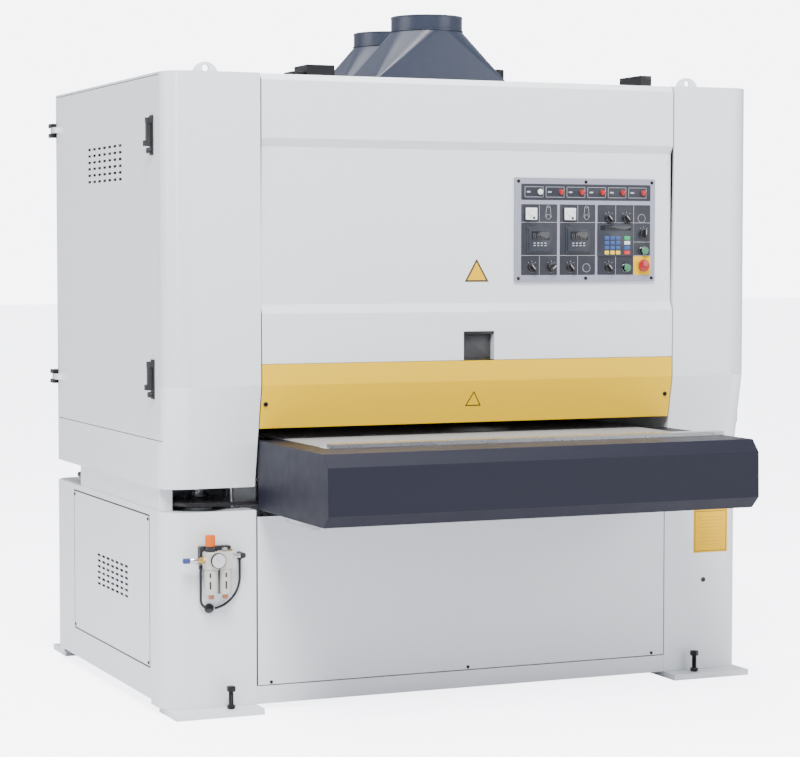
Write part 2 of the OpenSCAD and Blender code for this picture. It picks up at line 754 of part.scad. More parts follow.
// Drum as a tube on a shaft with a web in the middle, closed by two end discs
module contact_drum(y, z, r) {
    difference() {
        union() {
            rod_x(-drum_half, y, z, r, 2 * drum_half);
            rod_x(-bracket_x - bracket_t, y, z, drum_shaft_r, bracket_x + bracket_t + pulley_x + pulley_w);
            rod_x(pulley_x, y, z, pulley_r, pulley_w);
        }
        for (x = [-drum_half - tie, 20]) difference() {
            rod_x(x, y, z, r - drum_wall, drum_half - 20 + tie);
            rod_x(x - tie, y, z, drum_shaft_r, drum_half + 2 * tie);
        }
    }
    for (x = [-drum_half + 2, drum_half - 14]) difference() {
        rod_x(x, y, z, r - drum_wall, 12);
        rod_x(x - tie, y, z, drum_shaft_r, 12 + 2 * tie);
    }
}

module contact_drum_front() color(steel) contact_drum(front_drum_y, front_drum_z, front_drum_r);

module contact_drum_rear() color([0.2, 0.2, 0.2]) contact_drum(rear_drum_y, rear_drum_z, rear_drum_r);

module tension_roller(y) color(steel) union() {
    rod_x(-drum_half, y, tension_z, tension_r, 2 * drum_half);
    rod_x(-bracket_x - bracket_t, y, tension_z, tension_shaft_r, 2 * (bracket_x + bracket_t));
}

module tension_roller_front() tension_roller(front_beam_y);

module tension_roller_rear() tension_roller(rear_beam_y);

module main_motors() color([0.25, 0.32, 0.42]) {
    for (y = [front_drum_y, rear_drum_y]) union() {
        rod_x(pulley_x, y, motor_z, pulley_r, pulley_w);
        rod_x(pulley_x + pulley_w - tie, y, motor_z, 20, motor_x - pulley_x - pulley_w + 2 * tie);
        rod_x(motor_x, y, motor_z, motor_r, motor_l);
        block([motor_x, y - 140, motor_z - 120], [motor_x + 12, y + 140, motor_z + 120]);
        for (s = [-1, 1]) block([in_x + wall, y + s * 120 - 10, motor_z - 100], [motor_x + tie, y + s * 120 + 10, motor_z + 100]);
    }
}

module drive_v_belts() color(black) {
    for (d = [[front_drum_y, front_drum_z], [rear_drum_y, rear_drum_z]])
        translate([pulley_x + pulley_w / 2, 0, 0])
            belt_loop([[d, pulley_r], [[d[0], motor_z], pulley_r]], belt_skin, vbelt_t, pulley_w - 6);
}

// ---------- control panel ----------

module control_panel() color([0.70, 0.70, 0.75]) difference() {
    union() {
        block([panel_x, control_y, panel_z], [panel_x + panel_w, panel_y, panel_z + panel_h]);
        difference() {
            block([panel_x + 26, panel_y - tie, panel_z + 26],
                [panel_x + panel_w - 26, panel_y + 110, panel_z + panel_h - 26]);
            block([panel_x + 29, panel_y, panel_z + 29],
                [panel_x + panel_w - 29, panel_y + 107, panel_z + panel_h - 29]);
        }
    }
    for (p = concat(selector_at, start_at, [stop_at]))
        rod_y(panel_x + p[0], control_y - tie, panel_z + p[1], button_stem_r + fit, panel_t + 2 * tie);
}

// A square instrument that stands on the panel's face
module instrument(at, size, t) translate([panel_x + at[0] - size[0] / 2, control_y - t, panel_z + at[1] - size[1] / 2])
    cube([size[0], t, size[1]]);

module panel_instruments() color([0.2, 0.22, 0.25]) {
    for (p = meter_at) instrument(p, [46, 44], 9);
    for (p = timer_at) instrument(p, [96, 92], 10);
    instrument(keypad_at, [137, 106], 6);
    for (p = lamp_at) rod_y(panel_x + p[0], control_y - 9, panel_z + p[1], 11, 9);
}

// Head and stem of a control; the stem runs in the panel's hole
module control_stem(at) rod_y(panel_x + at[0], control_y - button_gap - tie, panel_z + at[1], button_stem_r, stem_l + tie);

module selector(at) color(black) {
    control_stem(at);
    rod_y(panel_x + at[0], control_y - 0.3 - 10, panel_z + at[1], selector_r, 10);
    translate([panel_x + at[0], control_y - 22, panel_z + at[1]]) rotate([-90, 0, 0])
        linear_extrude(13) square([8, 2 * selector_r - 2], center = true);
}

module start_button(at) color([0.1, 0.55, 0.25]) {
    control_stem(at);
    rod_y(panel_x + at[0], control_y - button_gap - 6, panel_z + at[1], start_r - 2, 6);
}

module e_stop_button() color([0.75, 0.08, 0.08]) {
    control_stem(stop_at);
    rod_y(panel_x + stop_at[0], control_y - button_gap - 14, panel_z + stop_at[1], stop_r, 14);
}

module start_button_upper() start_button(start_at[0]);

module start_button_lower() start_button(start_at[1]);

// ---------- air service unit ----------

module air_service_unit() color(black) {
    difference() {
        union() {
            block([-941, air_y - 22, 470], [-851, air_y + 22, 529]);
            block([-950, air_y + 22 - tie, 480], [-842, base_front, 548]);
            for (x = [-918, -872]) {
                translate([x, air_y, 392]) cylinder(r = 21, h = 79);
                translate([x, air_y, 377]) cylinder(r = 6, h = 16);
            }
            translate([knob_x, air_y, 528]) cylinder(r = 14, h = 16);
            rod_y(-903, air_y - 34, 501, 24.5, 13);
            rod_x(-1012, air_y, 502, 9, 72);
            translate([hose_drop_x - hose_bend_r - hose_rise_r, hose_y, 470]) cylinder(r = 6, h = 11);
            rod_x(-852, air_y, 511, 8, 40);
            rod_y(hose_drop_x, air_y - 13, 511, 10, hose_y - air_y + 25);
            translate([hose_drop_x, hose_y, 494]) cylinder(r = 7, h = 17);
        }
        translate([knob_x, air_y, 520]) cylinder(r = knob_bore_r + fit, h = 40);
    }
    // bush where the hose enters the column
    rod_y(hose_drop_x - hose_bend_r, hose_y - 12, grommet_z, 16, base_front - hose_y + 12);
}

module regulator_knob() color([0.9, 0.4, 0.1]) translate([knob_x, air_y, 0]) {
    translate([0, 0, 545]) cylinder(r = knob_r, h = 36);
    translate([0, 0, 522]) cylinder(r = knob_bore_r, h = 24);
}

module quarter(cx, cz, r, from) translate([cx, hose_y, cz]) rotate([90, 0, 0]) rotate([0, 0, from])
    rotate_extrude(angle = 90) translate([r, 0]) circle(hose_r, $fn = 24);

module air_hose() color(black) difference() {
    union() {
        translate([hose_drop_x, hose_y, grommet_z + hose_bend_r])
            cylinder(r = hose_r, h = 494 - grommet_z - hose_bend_r, $fn = 24);
        quarter(hose_drop_x - hose_bend_r, grommet_z + hose_bend_r, hose_bend_r, -90);
        quarter(hose_drop_x - hose_bend_r, grommet_z + hose_rise_r, hose_rise_r, 180);
        translate([hose_drop_x - hose_bend_r - hose_rise_r, hose_y, grommet_z + hose_rise_r])
            cylinder(r = hose_r, h = 470 - grommet_z - hose_rise_r, $fn = 24);
    }
    rod_y(hose_drop_x - hose_bend_r, hose_y - 13, grommet_z, 16, base_front - hose_y + 14);
}

module jack_screw_front_left() jack_screw(-1, -1);
module jack_screw_front_right() jack_screw(1, -1);
module jack_screw_rear_left() jack_screw(-1, 1);
module jack_screw_rear_right() jack_screw(1, 1);
module selector_1() selector(selector_at[0]);
module selector_2() selector(selector_at[1]);
module selector_3() selector(selector_at[2]);
module selector_4() selector(selector_at[3]);
module selector_5() selector(selector_at[4]);
module selector_6() selector(selector_at[5]);
module selector_7() selector(selector_at[6]);

base_left_housing();
base_right_housing();
base_cross_beams();
foot_plates();
levelling_bolts();
base_end_panels();
base_side_panels();
gap_skirts();
panel_screws();
conveyor_bed();
conveyor_covers();
conveyor_belt();
air_service_unit();
air_hose();
lift_chain();
gearmotors();
tracking_cylinder();
limit_rods();
regulator_knob();
conveyor_drive_roller();
conveyor_idler_roller();
jack_screw_front_left();
jack_screw_front_right();
jack_screw_rear_left();
jack_screw_rear_right();
head_left_housing();
head_right_housing();
front_fascia();
rear_fascia();
top_cover();
feed_guard();
dust_hoods();
roof_fittings();
control_panel();
panel_instruments();
head_beams();
sanding_belts();
main_motors();
drive_v_belts();
right_side_panel();
door_hinges();
lift_nuts();
left_door();
handle_plates();
door_handle_upper();
door_handle_lower();
contact_drum_front();
contact_drum_rear();
tension_roller_front();
tension_roller_rear();
e_stop_button();
start_button_upper();
start_button_lower();
selector_1();
selector_2();
selector_3();
selector_4();
selector_5();
selector_6();
selector_7();
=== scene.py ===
"""Wide-belt sander: finishes, small parts, floor, light and camera around the packed frame."""
import json
import math

import bmesh
import bpy
import numpy as np
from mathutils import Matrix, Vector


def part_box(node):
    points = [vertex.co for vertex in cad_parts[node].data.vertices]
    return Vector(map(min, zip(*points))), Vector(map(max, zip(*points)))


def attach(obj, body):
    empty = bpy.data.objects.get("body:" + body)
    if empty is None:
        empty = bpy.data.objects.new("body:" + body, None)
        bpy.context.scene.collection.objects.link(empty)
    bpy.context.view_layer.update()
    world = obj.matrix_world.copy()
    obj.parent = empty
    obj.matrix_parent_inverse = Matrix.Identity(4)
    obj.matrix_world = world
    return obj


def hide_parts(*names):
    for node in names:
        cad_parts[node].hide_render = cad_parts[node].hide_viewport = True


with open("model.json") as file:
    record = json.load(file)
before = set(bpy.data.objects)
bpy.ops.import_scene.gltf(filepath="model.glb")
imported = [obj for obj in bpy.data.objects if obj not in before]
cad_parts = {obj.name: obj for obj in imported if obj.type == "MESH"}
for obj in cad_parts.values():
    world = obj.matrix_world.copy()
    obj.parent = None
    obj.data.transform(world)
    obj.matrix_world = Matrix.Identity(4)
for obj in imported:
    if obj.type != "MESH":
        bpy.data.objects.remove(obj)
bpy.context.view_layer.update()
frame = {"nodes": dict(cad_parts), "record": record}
BODY_OF = {n: b for b, nodes in frame["record"]["behaviour"]["bodies"].items() for n in nodes}

bl_info = {
    "name": "Wide-belt sander",
    "version": (1, 0, 0),
    "blender": (4, 5, 0),
    "location": "3D View > Sidebar > Sander",
    "description": "Builds the finished pieces of a two-head wide-belt sander",
    "category": "Add Mesh",
}

X, Y, Z = np.eye(3)
LOW = {n: np.array(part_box(n)[0]) for n in frame["nodes"]}
HIGH = {n: np.array(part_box(n)[1]) for n in frame["nodes"]}
COLOUR, FLOAT, VECTOR = "NodeSocketColor", "NodeSocketFloat", "NodeSocketVector"
STUDIO = (0.92, 0.93, 1.0, 1)  # colour of the surrounding light

# Thickness of a printed field, thickness of a line on it, and that line's own rounding
FIELD, LINE, FINE = 0.0006, 0.0002, 0.00005

# Finishes of the air service unit, by their place in its list
GUARD, BLACK, CHROME, BRASS, FACE, BLUE, CLEAR, DARK, AMBER = range(9)


# ---------- settings ----------

def colour(name, text, value):
    return bpy.props.FloatVectorProperty(name=name, description=text, subtype="COLOR", size=4,
                                         min=0, max=1, default=(*value, 1))


def length(name, text, value):
    return bpy.props.FloatProperty(name=name, description=text, subtype="DISTANCE", unit="LENGTH",
                                   default=value, min=0)


class SanderPaints(bpy.types.PropertyGroup):
    """Paint colours of the machine."""
    housing: colour("Housing", "Powder coat of base and head", (0.79, 0.82, 0.845))
    conveyor: colour("Conveyor", "Paint of the conveyor covers", (0.0105, 0.011, 0.021))
    guard: colour("Guard", "Paint of the feed guard", (0.86, 0.53, 0.0))
    hoods: colour("Hoods", "Paint of the dust hoods", (0.017, 0.023, 0.042))
    motors: colour("Motors", "Paint of the motors", (0.03, 0.05, 0.085))
    floor: colour("Floor", "Colour of the floor", (0.86, 0.86, 0.90))


class SanderSizes(bpy.types.PropertyGroup):
    """Sizes of the finished edges and small parts."""
    edge: length("Edge", "Rounding of folded sheet edges", 0.0015)
    rib: length("Belt rib", "Height of the feed belt's ribs", 0.0012)
    zigzag: length("Belt zigzag", "Width of one zigzag of the belt's ribs", 0.036)
    rib_pitch: length("Belt rib pitch", "Distance between the belt's ribs", 0.015)
    thread: length("Thread", "Depth of the jackscrews' thread", 0.0012)
    lens: bpy.props.FloatProperty(name="Lens", description="Focal length of the camera in mm",
                                  default=105.26, min=20)


def paints():
    return bpy.context.scene.sander_paints


def sizes():
    return bpy.context.scene.sander_sizes


# ---------- shader groups and materials ----------

def socket_group(name, inputs, outputs):
    """An empty shader group with float or colour sockets."""
    tree = bpy.data.node_groups.new(name, "ShaderNodeTree")
    for label, kind, value in inputs:
        tree.interface.new_socket(label, in_out="INPUT", socket_type=kind).default_value = value
    for label, kind in outputs:
        tree.interface.new_socket(label, in_out="OUTPUT", socket_type=kind)
    return tree, tree.nodes.new("NodeGroupInput"), tree.nodes.new("NodeGroupOutput")


def link(tree, value, socket):
    """Links an output to an input socket, or sets the input when the value is a number."""
    if isinstance(value, (int, float)):
        socket.default_value = value
    elif value is not None:
        tree.links.new(value, socket)


def put(node, values):
    """Sets a node's input sockets by name."""
    for name, value in values.items():
        node.inputs[name].default_value = value


def shader_of(material):
    return material.node_tree.nodes["Principled BSDF"]


def object_place(tree):
    return tree.nodes.new("ShaderNodeTexCoord").outputs["Object"]


def math_node(tree, operation, a, b=None, c=None):
    """A Math node on sockets or numbers; returns its output."""
    node = tree.nodes.new("ShaderNodeMath")
    node.operation = operation
    for socket, value in zip(node.inputs, (a, b, c)):
        link(tree, value, socket)
    return node.outputs[0]


def noise_node(tree, vector, scale, detail=3.0, rough=0.55):
    """A Noise texture on a vector, its scale a number or a socket; returns its height."""
    node = tree.nodes.new("ShaderNodeTexNoise")
    put(node, {"Detail": detail, "Roughness": rough})
    link(tree, vector, node.inputs["Vector"])
    link(tree, scale, node.inputs["Scale"])
    return node.outputs["Fac"]


def blotch_group():
    """Slow colour variation and thin grime: colour, roughness and mask from object position."""
    if found := bpy.data.node_groups.get("Handled surface"):
        return found
    tree, gin, gout = socket_group(
        "Handled surface",
        [("Colour", COLOUR, (0.5, 0.5, 0.5, 1)), ("Grime colour", COLOUR, (0.2, 0.18, 0.16, 1)),
         ("Scale", FLOAT, 3.0), ("Variation", FLOAT, 0.05),
         ("Grime", FLOAT, 0.1), ("Roughness", FLOAT, 0.4)],
        [("Colour", COLOUR), ("Roughness", FLOAT), ("Mask", FLOAT)])
    where = object_place(tree)
    slow = noise_node(tree, where, gin.outputs["Scale"])
    fast = noise_node(tree, where, math_node(tree, "MULTIPLY", gin.outputs["Scale"], 9.0), 5.0)
    centred = math_node(tree, "SUBTRACT", slow, 0.5)
    bright = math_node(tree, "MULTIPLY_ADD", centred, gin.outputs["Variation"], 1.0)
    scaled = tree.nodes.new("ShaderNodeVectorMath")
    scaled.operation = "SCALE"
    link(tree, gin.outputs["Colour"], scaled.inputs[0])
    link(tree, bright, scaled.inputs["Scale"])
    streak = math_node(tree, "MULTIPLY", math_node(tree, "GREATER_THAN", fast, 0.58), slow)
    mask = math_node(tree, "MULTIPLY", streak, gin.outputs["Grime"])
    mix = tree.nodes.new("ShaderNodeMix")
    mix.data_type = "RGBA"
    link(tree, mask, mix.inputs["Factor"])
    link(tree, scaled.outputs[0], mix.inputs["A"])
    link(tree, gin.outputs["Grime colour"], mix.inputs["B"])
    link(tree, mix.outputs["Result"], gout.inputs["Colour"])
    uneven = math_node(tree, "SUBTRACT", fast, 0.5)
    rough = math_node(tree, "MULTIPLY_ADD", uneven, 0.18, gin.outputs["Roughness"])
    link(tree, rough, gout.inputs["Roughness"])
    link(tree, mask, gout.inputs["Mask"])
    return tree


def peel_group():
    """Fine height of a sprayed or moulded skin: two noises added."""
    if found := bpy.data.node_groups.get("Skin grain"):
        return found
    tree, gin, gout = socket_group(
        "Skin grain", [("Scale", FLOAT, 400.0), ("Stretch", VECTOR, (1, 1, 1))], [("Height", FLOAT)])
    where = object_place(tree)
    stretched = tree.nodes.new("ShaderNodeVectorMath")
    stretched.operation = "MULTIPLY"
    link(tree, where, stretched.inputs[0])
    link(tree, gin.outputs["Stretch"], stretched.inputs[1])
    fine = noise_node(tree, stretched.outputs[0], gin.outputs["Scale"], 2.0)
    wide = math_node(tree, "MULTIPLY", gin.outputs["Scale"], 0.23)
    broad = noise_node(tree, stretched.outputs[0], wide, 1.0)
    link(tree, math_node(tree, "MULTIPLY_ADD", broad, 1.6, fine), gout.inputs["Height"])
    return tree


def finish(name, base, rough=0.4, metallic=0.0, grain=420.0, bump=0.00006, stretch=(1, 1, 1), vary=0.05,
           grime=0.06, scale=2.2, coat=0.0, specular=0.5):
    """A finished surface: handled colour and roughness with a fine grain in its normal."""
    if found := bpy.data.materials.get(name):
        return found
    material = bpy.data.materials.new(name)
    material.use_nodes = True
    tree = material.node_tree
    shader = shader_of(material)
    handled = tree.nodes.new("ShaderNodeGroup")
    handled.node_tree = blotch_group()
    put(handled, {"Colour": (*base[:3], 1), "Scale": scale, "Variation": vary, "Grime": grime,
                  "Roughness": rough})
    grained = tree.nodes.new("ShaderNodeGroup")
    grained.node_tree = peel_group()
    put(grained, {"Scale": grain, "Stretch": stretch})
    bumped = tree.nodes.new("ShaderNodeBump")
    put(bumped, {"Distance": bump, "Strength": 1.0})
    link(tree, grained.outputs["Height"], bumped.inputs["Height"])
    link(tree, handled.outputs["Colour"], shader.inputs["Base Color"])
    link(tree, handled.outputs["Roughness"], shader.inputs["Roughness"])
    link(tree, bumped.outputs["Normal"], shader.inputs["Normal"])
    put(shader, {"Metallic": metallic, "Coat Weight": coat, "Coat Roughness": 0.15,
                 "Specular IOR Level": specular})
    return material


def glow(name, base, strength):
    """A lit display or lamp: its own colour also given off."""
    material = finish(name, base, rough=0.2, bump=0.00001)
    put(shader_of(material), {"Emission Color": (*base, 1), "Emission Strength": strength})
    return material


def clear_plastic():
    """Clear window over a dial."""
    if found := bpy.data.materials.get("Clear window"):
        return found
    material = bpy.data.materials.new("Clear window")
    material.use_nodes = True
    put(shader_of(material), {"Roughness": 0.06, "Transmission Weight": 1.0, "IOR": 1.45})
    return material


def abrasive_cloth():
    """Abrasive belt: brown grit from a cell pattern, as colour and height."""
    material = finish("Abrasive cloth", (0.16, 0.062, 0.03), rough=0.85, vary=0.3, scale=9)
    tree = material.node_tree
    grit = tree.nodes.new("ShaderNodeTexVoronoi")
    put(grit, {"Scale": 900})
    link(tree, object_place(tree), grit.inputs["Vector"])
    bumped = next(n for n in tree.nodes if n.bl_idname == "ShaderNodeBump")
    put(bumped, {"Distance": 0.0004})
    link(tree, grit.outputs["Distance"], bumped.inputs["Height"])
    return material


def material_of(node):
    """The finish of each CAD node, by the record's material slot."""
    def later(*values, **named):
        return lambda: finish(*values, **named)
    p = paints()
    slots = {
        "white_paint": later("Housing powder coat", p.housing, 0.36, grime=0.015, vary=0.02,
                             coat=0.15),
        "slate_paint": later("Slate powder coat", p.conveyor, 0.5, grime=0.0, bump=0.0001,
                             specular=0.22),
        "yellow_paint": later("Guard enamel", p.guard, 0.45, vary=0.03, grime=0.02, specular=0.25),
        "hood_paint": later("Hood enamel", p.hoods, 0.36, vary=0.08, grime=0.02, bump=0.0001),
        "motor_paint": later("Motor enamel", p.motors, 0.45, vary=0.15, grime=0.25, bump=0.0002),
        "beam_paint": later("Beam primer", (0.17, 0.18, 0.2), 0.5, vary=0.15, grime=0.3),
        "black_steel": later("Blackened steel", (0.014, 0.014, 0.016), 0.38, 0.6, vary=0.3, grime=0.2),
        "bright_steel": later("Turned steel", (0.55, 0.56, 0.57), 0.28, 1.0, 900, 0.00003,
                              (0.06, 1, 1), 0.12, 0.15),
        "brass": later("Machined brass", (0.62, 0.42, 0.13), 0.3, 1.0, 700, 0.00003, (1, 1, 0.1)),
        "belt_rubber": later("Belt rubber", (0.33, 0.335, 0.34), 0.75, vary=0.16, grime=0.45, scale=5),
        "drum_rubber": later("Drum rubber", (0.025, 0.025, 0.026), 0.7, vary=0.3, grime=0.2),
        "black_rubber": later("Hose rubber", (0.012, 0.012, 0.013), 0.45, vary=0.3, grime=0.1),
        "abrasive": abrasive_cloth,
        "black_plastic": later("Black moulding", (0.013, 0.013, 0.015), 0.42, grain=1500, bump=0.0001),
        "dark_plastic": later("Instrument case", (0.022, 0.026, 0.036), 0.4, grain=1500),
        "red_plastic": later("Stop red", (0.33, 0.003, 0.002), 0.22, coat=0.4, bump=0.00001),
        "green_plastic": later("Start green", (0.006, 0.13, 0.05), 0.22, coat=0.4, bump=0.00001),
        "orange_plastic": later("Regulator orange", (0.68, 0.12, 0.004), 0.45, bump=0.00002,
                                specular=0.3),
        "panel_metal": later("Panel foil", (0.30, 0.30, 0.38), 0.38, 0.35, 1200, 0.00002, (0.1, 1, 1)),
    }
    slot = next(s["material_slot"] for s in frame["record"]["subparts"] if s["node"] == node)
    return slots[slot]()


# ---------- surfaces ----------

def unit(v):
    """A vector's direction."""
    return np.asarray(v, float) / np.linalg.norm(v)


def across(axis):
    """Two unit vectors square to an axis, right-handed with it."""
    axis = unit(axis)
    side = unit(np.cross(axis, Z if abs(axis[2]) < 0.9 else X))
    return side, np.cross(axis, side)


class Surfaces:
    """Gathers grids of points into one mesh with several finishes."""

    def __init__(self):
        self.points, self.faces, self.finishes, self.count = [], [], [], 0

    def loft(self, rings, index=0, caps=(True, True), closed=True):
        """Quads between rings of points (rings, points, 3) in one finish; caps close the ends."""
        rings = np.asarray(rings, float)
        m, n = rings.shape[:2]
        i = np.arange(m - 1)[:, None] * n
        j = np.arange(n if closed else n - 1)[None, :]
        k = (j + 1) % n
        quads = np.stack([i + j, i + k, i + n + k, i + n + j], -1).reshape(-1, 4) + self.count
        faces = quads.tolist()
        if caps[0]:
            faces.append((np.arange(n)[::-1] + self.count).tolist())
        if caps[1]:
            faces.append((np.arange(n) + (m - 1) * n + self.count).tolist())
        self.points.append(rings.reshape(-1, 3))
        self.faces += faces
        self.finishes += [index] * len(faces)
        self.count += m * n

    def turned(self, origin, axis, profile, index=0, segments=32):
        """A profile of (radius, height) pairs turned about an axis."""
        profile = np.asarray(profile, float)
        side, up = across(axis)
        t = np.arange(segments) / segments * 2 * math.pi
        circle = np.cos(t)[:, None] * side + np.sin(t)[:, None] * up
        rings = (np.asarray(origin) + profile[:, 1, None, None] * unit(axis)
                 + profile[:, 0, None, None] * circle[None])
        self.loft(rings, index)

    def plate(self, centre, u, v, width, height, thick, index=0, corner=0.0, bevel=0.0004):
        """A plate with round corners that stands on centre along u x v, its outer edge rounded."""
        u, v = unit(u), unit(v)
        out = np.cross(u, v)
        bevel = min(bevel, thick * 0.45)
        corner = max(corner, bevel * 1.5)
        base = rounded_outline(width, height, corner)
        small = rounded_outline(width - 2 * bevel, height - 2 * bevel, max(corner - bevel, bevel * 0.5))
        middle = (base + small) / 2
        steps = [(base, 0.0), (base, thick - bevel), (middle, thick - 0.3 * bevel), (small, thick)]
        rings = [np.asarray(centre) + o[:, :1] * u + o[:, 1:] * v + h * out for o, h in steps]
        self.loft(rings, index)

    def prism(self, outline, centre, u, v, thick, index=0):
        """Any flat outline in the plane of u and v, raised by thick."""
        u, v = unit(u), unit(v)
        outline = np.asarray(outline, float)
        flat = np.asarray(centre) + outline[:, :1] * u + outline[:, 1:] * v
        self.loft([flat, flat + thick * np.cross(u, v)], index)

    def border(self, centre, u, v, width, height, line, thick, index=0):
        """A thin rectangular frame made of four bars."""
        across_u, across_v = (width - line) / 2 * unit(u), (height - line) / 2 * unit(v)
        for s in (-1, 1):
            for shift, w, h in ((across_u, line, height), (across_v, width, line)):
                self.plate(centre + s * shift, u, v, w, h, thick, index, bevel=line * 0.1)

    def build(self, name, materials, body, replaces=(), sharp=35):
        """Makes the object, turns its faces outwards and rides it on its body."""
        mesh = bpy.data.meshes.new(name)
        mesh.from_pydata(np.concatenate(self.points), [], self.faces)
        mesh.polygons.foreach_set("material_index", np.array(self.finishes, np.int32))
        for material in materials:
            mesh.materials.append(material)
        tidy_mesh(mesh, sharp)
        place(name, mesh, body, replaces)

    def stand_for(self, node, materials=None):
        """Makes the object in place of a CAD node, on that node's body."""
        self.build(node + ".finished", materials or [material_of(node)], BODY_OF[node], [node])


def tidy_mesh(mesh, sharp):
    """Merges doubles, points faces outwards and sets smooth faces with sharp edges."""
    work = bmesh.new()
    work.from_mesh(mesh)
    bmesh.ops.remove_doubles(work, verts=work.verts, dist=1e-6)
    bmesh.ops.recalc_face_normals(work, faces=work.faces)
    work.to_mesh(mesh)
    work.free()
    smooth_faces(mesh, sharp)


def smooth_faces(mesh, sharp):
    """Smooth faces, with sharp edges where they turn by more than an angle in degrees."""
    mesh.polygons.foreach_set("use_smooth", np.ones(len(mesh.polygons), bool))
    mesh.set_sharp_from_angle(angle=math.radians(sharp))


def add_object(name, data):
    """A new object in the scene."""
    thing = bpy.data.objects.new(name, data)
    bpy.context.scene.collection.objects.link(thing)
    return thing


def place(name, mesh, body, replaces=()):
    """Adds a piece, rides it on its body and says which nodes and slot it stands for."""
    piece = add_object(name, mesh)
    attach(piece, body)
    if replaces:
        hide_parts(*replaces)
    return piece


def rounded_outline(width, height, corner, steps=5):
    """Rectangle with quarter-circle corners, counter-clockwise."""
    corner = min(corner, width / 2 - 1e-6, height / 2 - 1e-6)
    t = np.linspace(0, math.pi / 2, steps)
    arc = np.stack([np.cos(t), np.sin(t)], -1) * corner
    out = []
    for k, (sx, sy) in enumerate([(1, 1), (-1, 1), (-1, -1), (1, -1)]):
        c, s = math.cos(k * math.pi / 2), math.sin(k * math.pi / 2)
        turn = arc @ np.array([[c, s], [-s, c]])
        out.append(turn + [sx * (width / 2 - corner), sy * (height / 2 - corner)])
    return np.concatenate(out)


def finished_copy(node, edge=None, segments=2, sharp=28):
    """The CAD node's own shape with merged faces and rounded edges."""
    mesh = frame["nodes"][node].data.copy()
    work = bmesh.new()
    work.from_mesh(mesh)
    bmesh.ops.remove_doubles(work, verts=work.verts, dist=2e-6)
    bmesh.ops.dissolve_limit(work, angle_limit=math.radians(0.3), verts=work.verts, edges=work.edges)
    work.to_mesh(mesh)
    work.free()
    mesh.materials.clear()
    mesh.materials.append(material_of(node))
    mesh.polygons.foreach_set("material_index", np.zeros(len(mesh.polygons), np.int32))
    smooth_faces(mesh, sharp)
    piece = place(node + ".finished", mesh, BODY_OF[node], [node])
    bevel = piece.modifiers.new("Rounded edges", "BEVEL")
    bevel.width = edge or sizes().edge
    bevel.segments = segments
    bevel.limit_method = "ANGLE"
    bevel.angle_limit = math.radians(32)
    bevel.use_clamp_overlap = True
    bevel.harden_normals = True


def finished_copies(*nodes, **how):
    """Finished copies that share their settings."""
    for node in nodes:
        finished_copy(node, **how)


def painted(*nodes):
    """CAD nodes kept as they are, with their finish."""
    for node in nodes:
        mesh = frame["nodes"][node].data
        mesh.materials.clear()
        mesh.materials.append(material_of(node))


# ---------- pieces ----------

def make_housings():
    finished_copies("base_left_housing", "base_right_housing", "head_left_housing", "head_right_housing")
    finished_copies("base_cross_beams", "foot_plates", "gap_skirts", "top_cover", "rear_fascia", edge=0.002)
    finished_copy("front_fascia", 0.0022, segments=3, sharp=15)
    pocket_shade_and_lip = Surfaces()
    pocket = LOW["front_fascia"] * [0, 1, 1] + [0.0155, 0.0285, 0.048]
    # The dark plate in the grip pocket is painted shade in the recess; the plate over it is the pocket's
    # lip.
    pocket_shade_and_lip.plate(pocket, X, Z, 0.106, 0.09, 0.004, 0, 0.004)
    pocket_shade_and_lip.plate(pocket + [0, -0.019, 0.044], X, Z, 0.112, 0.012, 0.004, 1, 0.002)
    pocket_shade_paint = finish("Pocket painted shade", (0.035, 0.035, 0.038), 0.5)
    pocket_shade_and_lip.build("grip_pocket_shade_and_lip", [pocket_shade_paint, material_of("handle_plates")], "head")


def make_base_fittings():
    finished_copies("base_end_panels", "base_side_panels", edge=0.0006)
    screws = Surfaces()
    side_low, side_high = LOW["base_side_panels"], HIGH["base_side_panels"]
    inset = 0.012
    for s in (-1, 1):
        for y in (side_low[1] + inset, side_high[1] - inset):
            for z in (side_low[2] + inset, side_high[2] - inset):
                button_screw(screws, (s * side_high[0], y, z), s * X)
    screw_z = LOW["panel_screws"][2] + 0.005
    for x in (-0.7, 0.0, 0.7):
        button_screw(screws, (x, LOW["base_end_panels"][1], screw_z), -Y)
        button_screw(screws, (x, HIGH["base_end_panels"][1], screw_z), Y)
    # Painted shade: dark frames in the gaps round the side panels and dark strips behind the gaps in the
    # front.
    seams = Surfaces()
    gap, depth = 0.0035, 0.0022
    width, height = (side_high - side_low)[1:] + 2 * gap
    for s in (-1, 1):
        centre = (side_low + side_high) / 2 * [0, 1, 1] + [s * (side_high[0] - depth), 0, 0]
        seams.border(centre, s * Y, Z, width, height, 0.0055, 0.0024, 0)
    front_y = LOW["base_left_housing"][1]
    for s in (-1, 1):
        seams.plate((s * 0.739, front_y + 0.02, 0.36), X, Z, 0.031, 0.565, 0.001, 0)
    shade = finish("Seam shade", (0.02, 0.021, 0.023), 0.8)
    seams.build("side_panel_seams", [shade], "base")
    screws.stand_for("panel_screws")
    bolts = Surfaces()
    low, high = LOW["levelling_bolts"], HIGH["levelling_bolts"]
    head_r = 0.0145
    for x in (low[0] + head_r, high[0] - head_r):
        for y in (low[1] + head_r, high[1] - head_r):
            levelling_bolt(bolts, (x, y, 0), high[2])
    bolts.stand_for("levelling_bolts")


def button_screw(part, at, axis, radius=0.0055, index=0):
    """Low round head with a socket in its middle."""
    r = radius
    profile = [(r, 0), (r, 0.3 * r), (0.85 * r, 0.55 * r), (0.5 * r, 0.66 * r), (0.42 * r, 0.66 * r),
               (0.42 * r, 0.25 * r), (0.02 * r, 0.25 * r)]
    part.turned(at, axis, profile, index, 18)


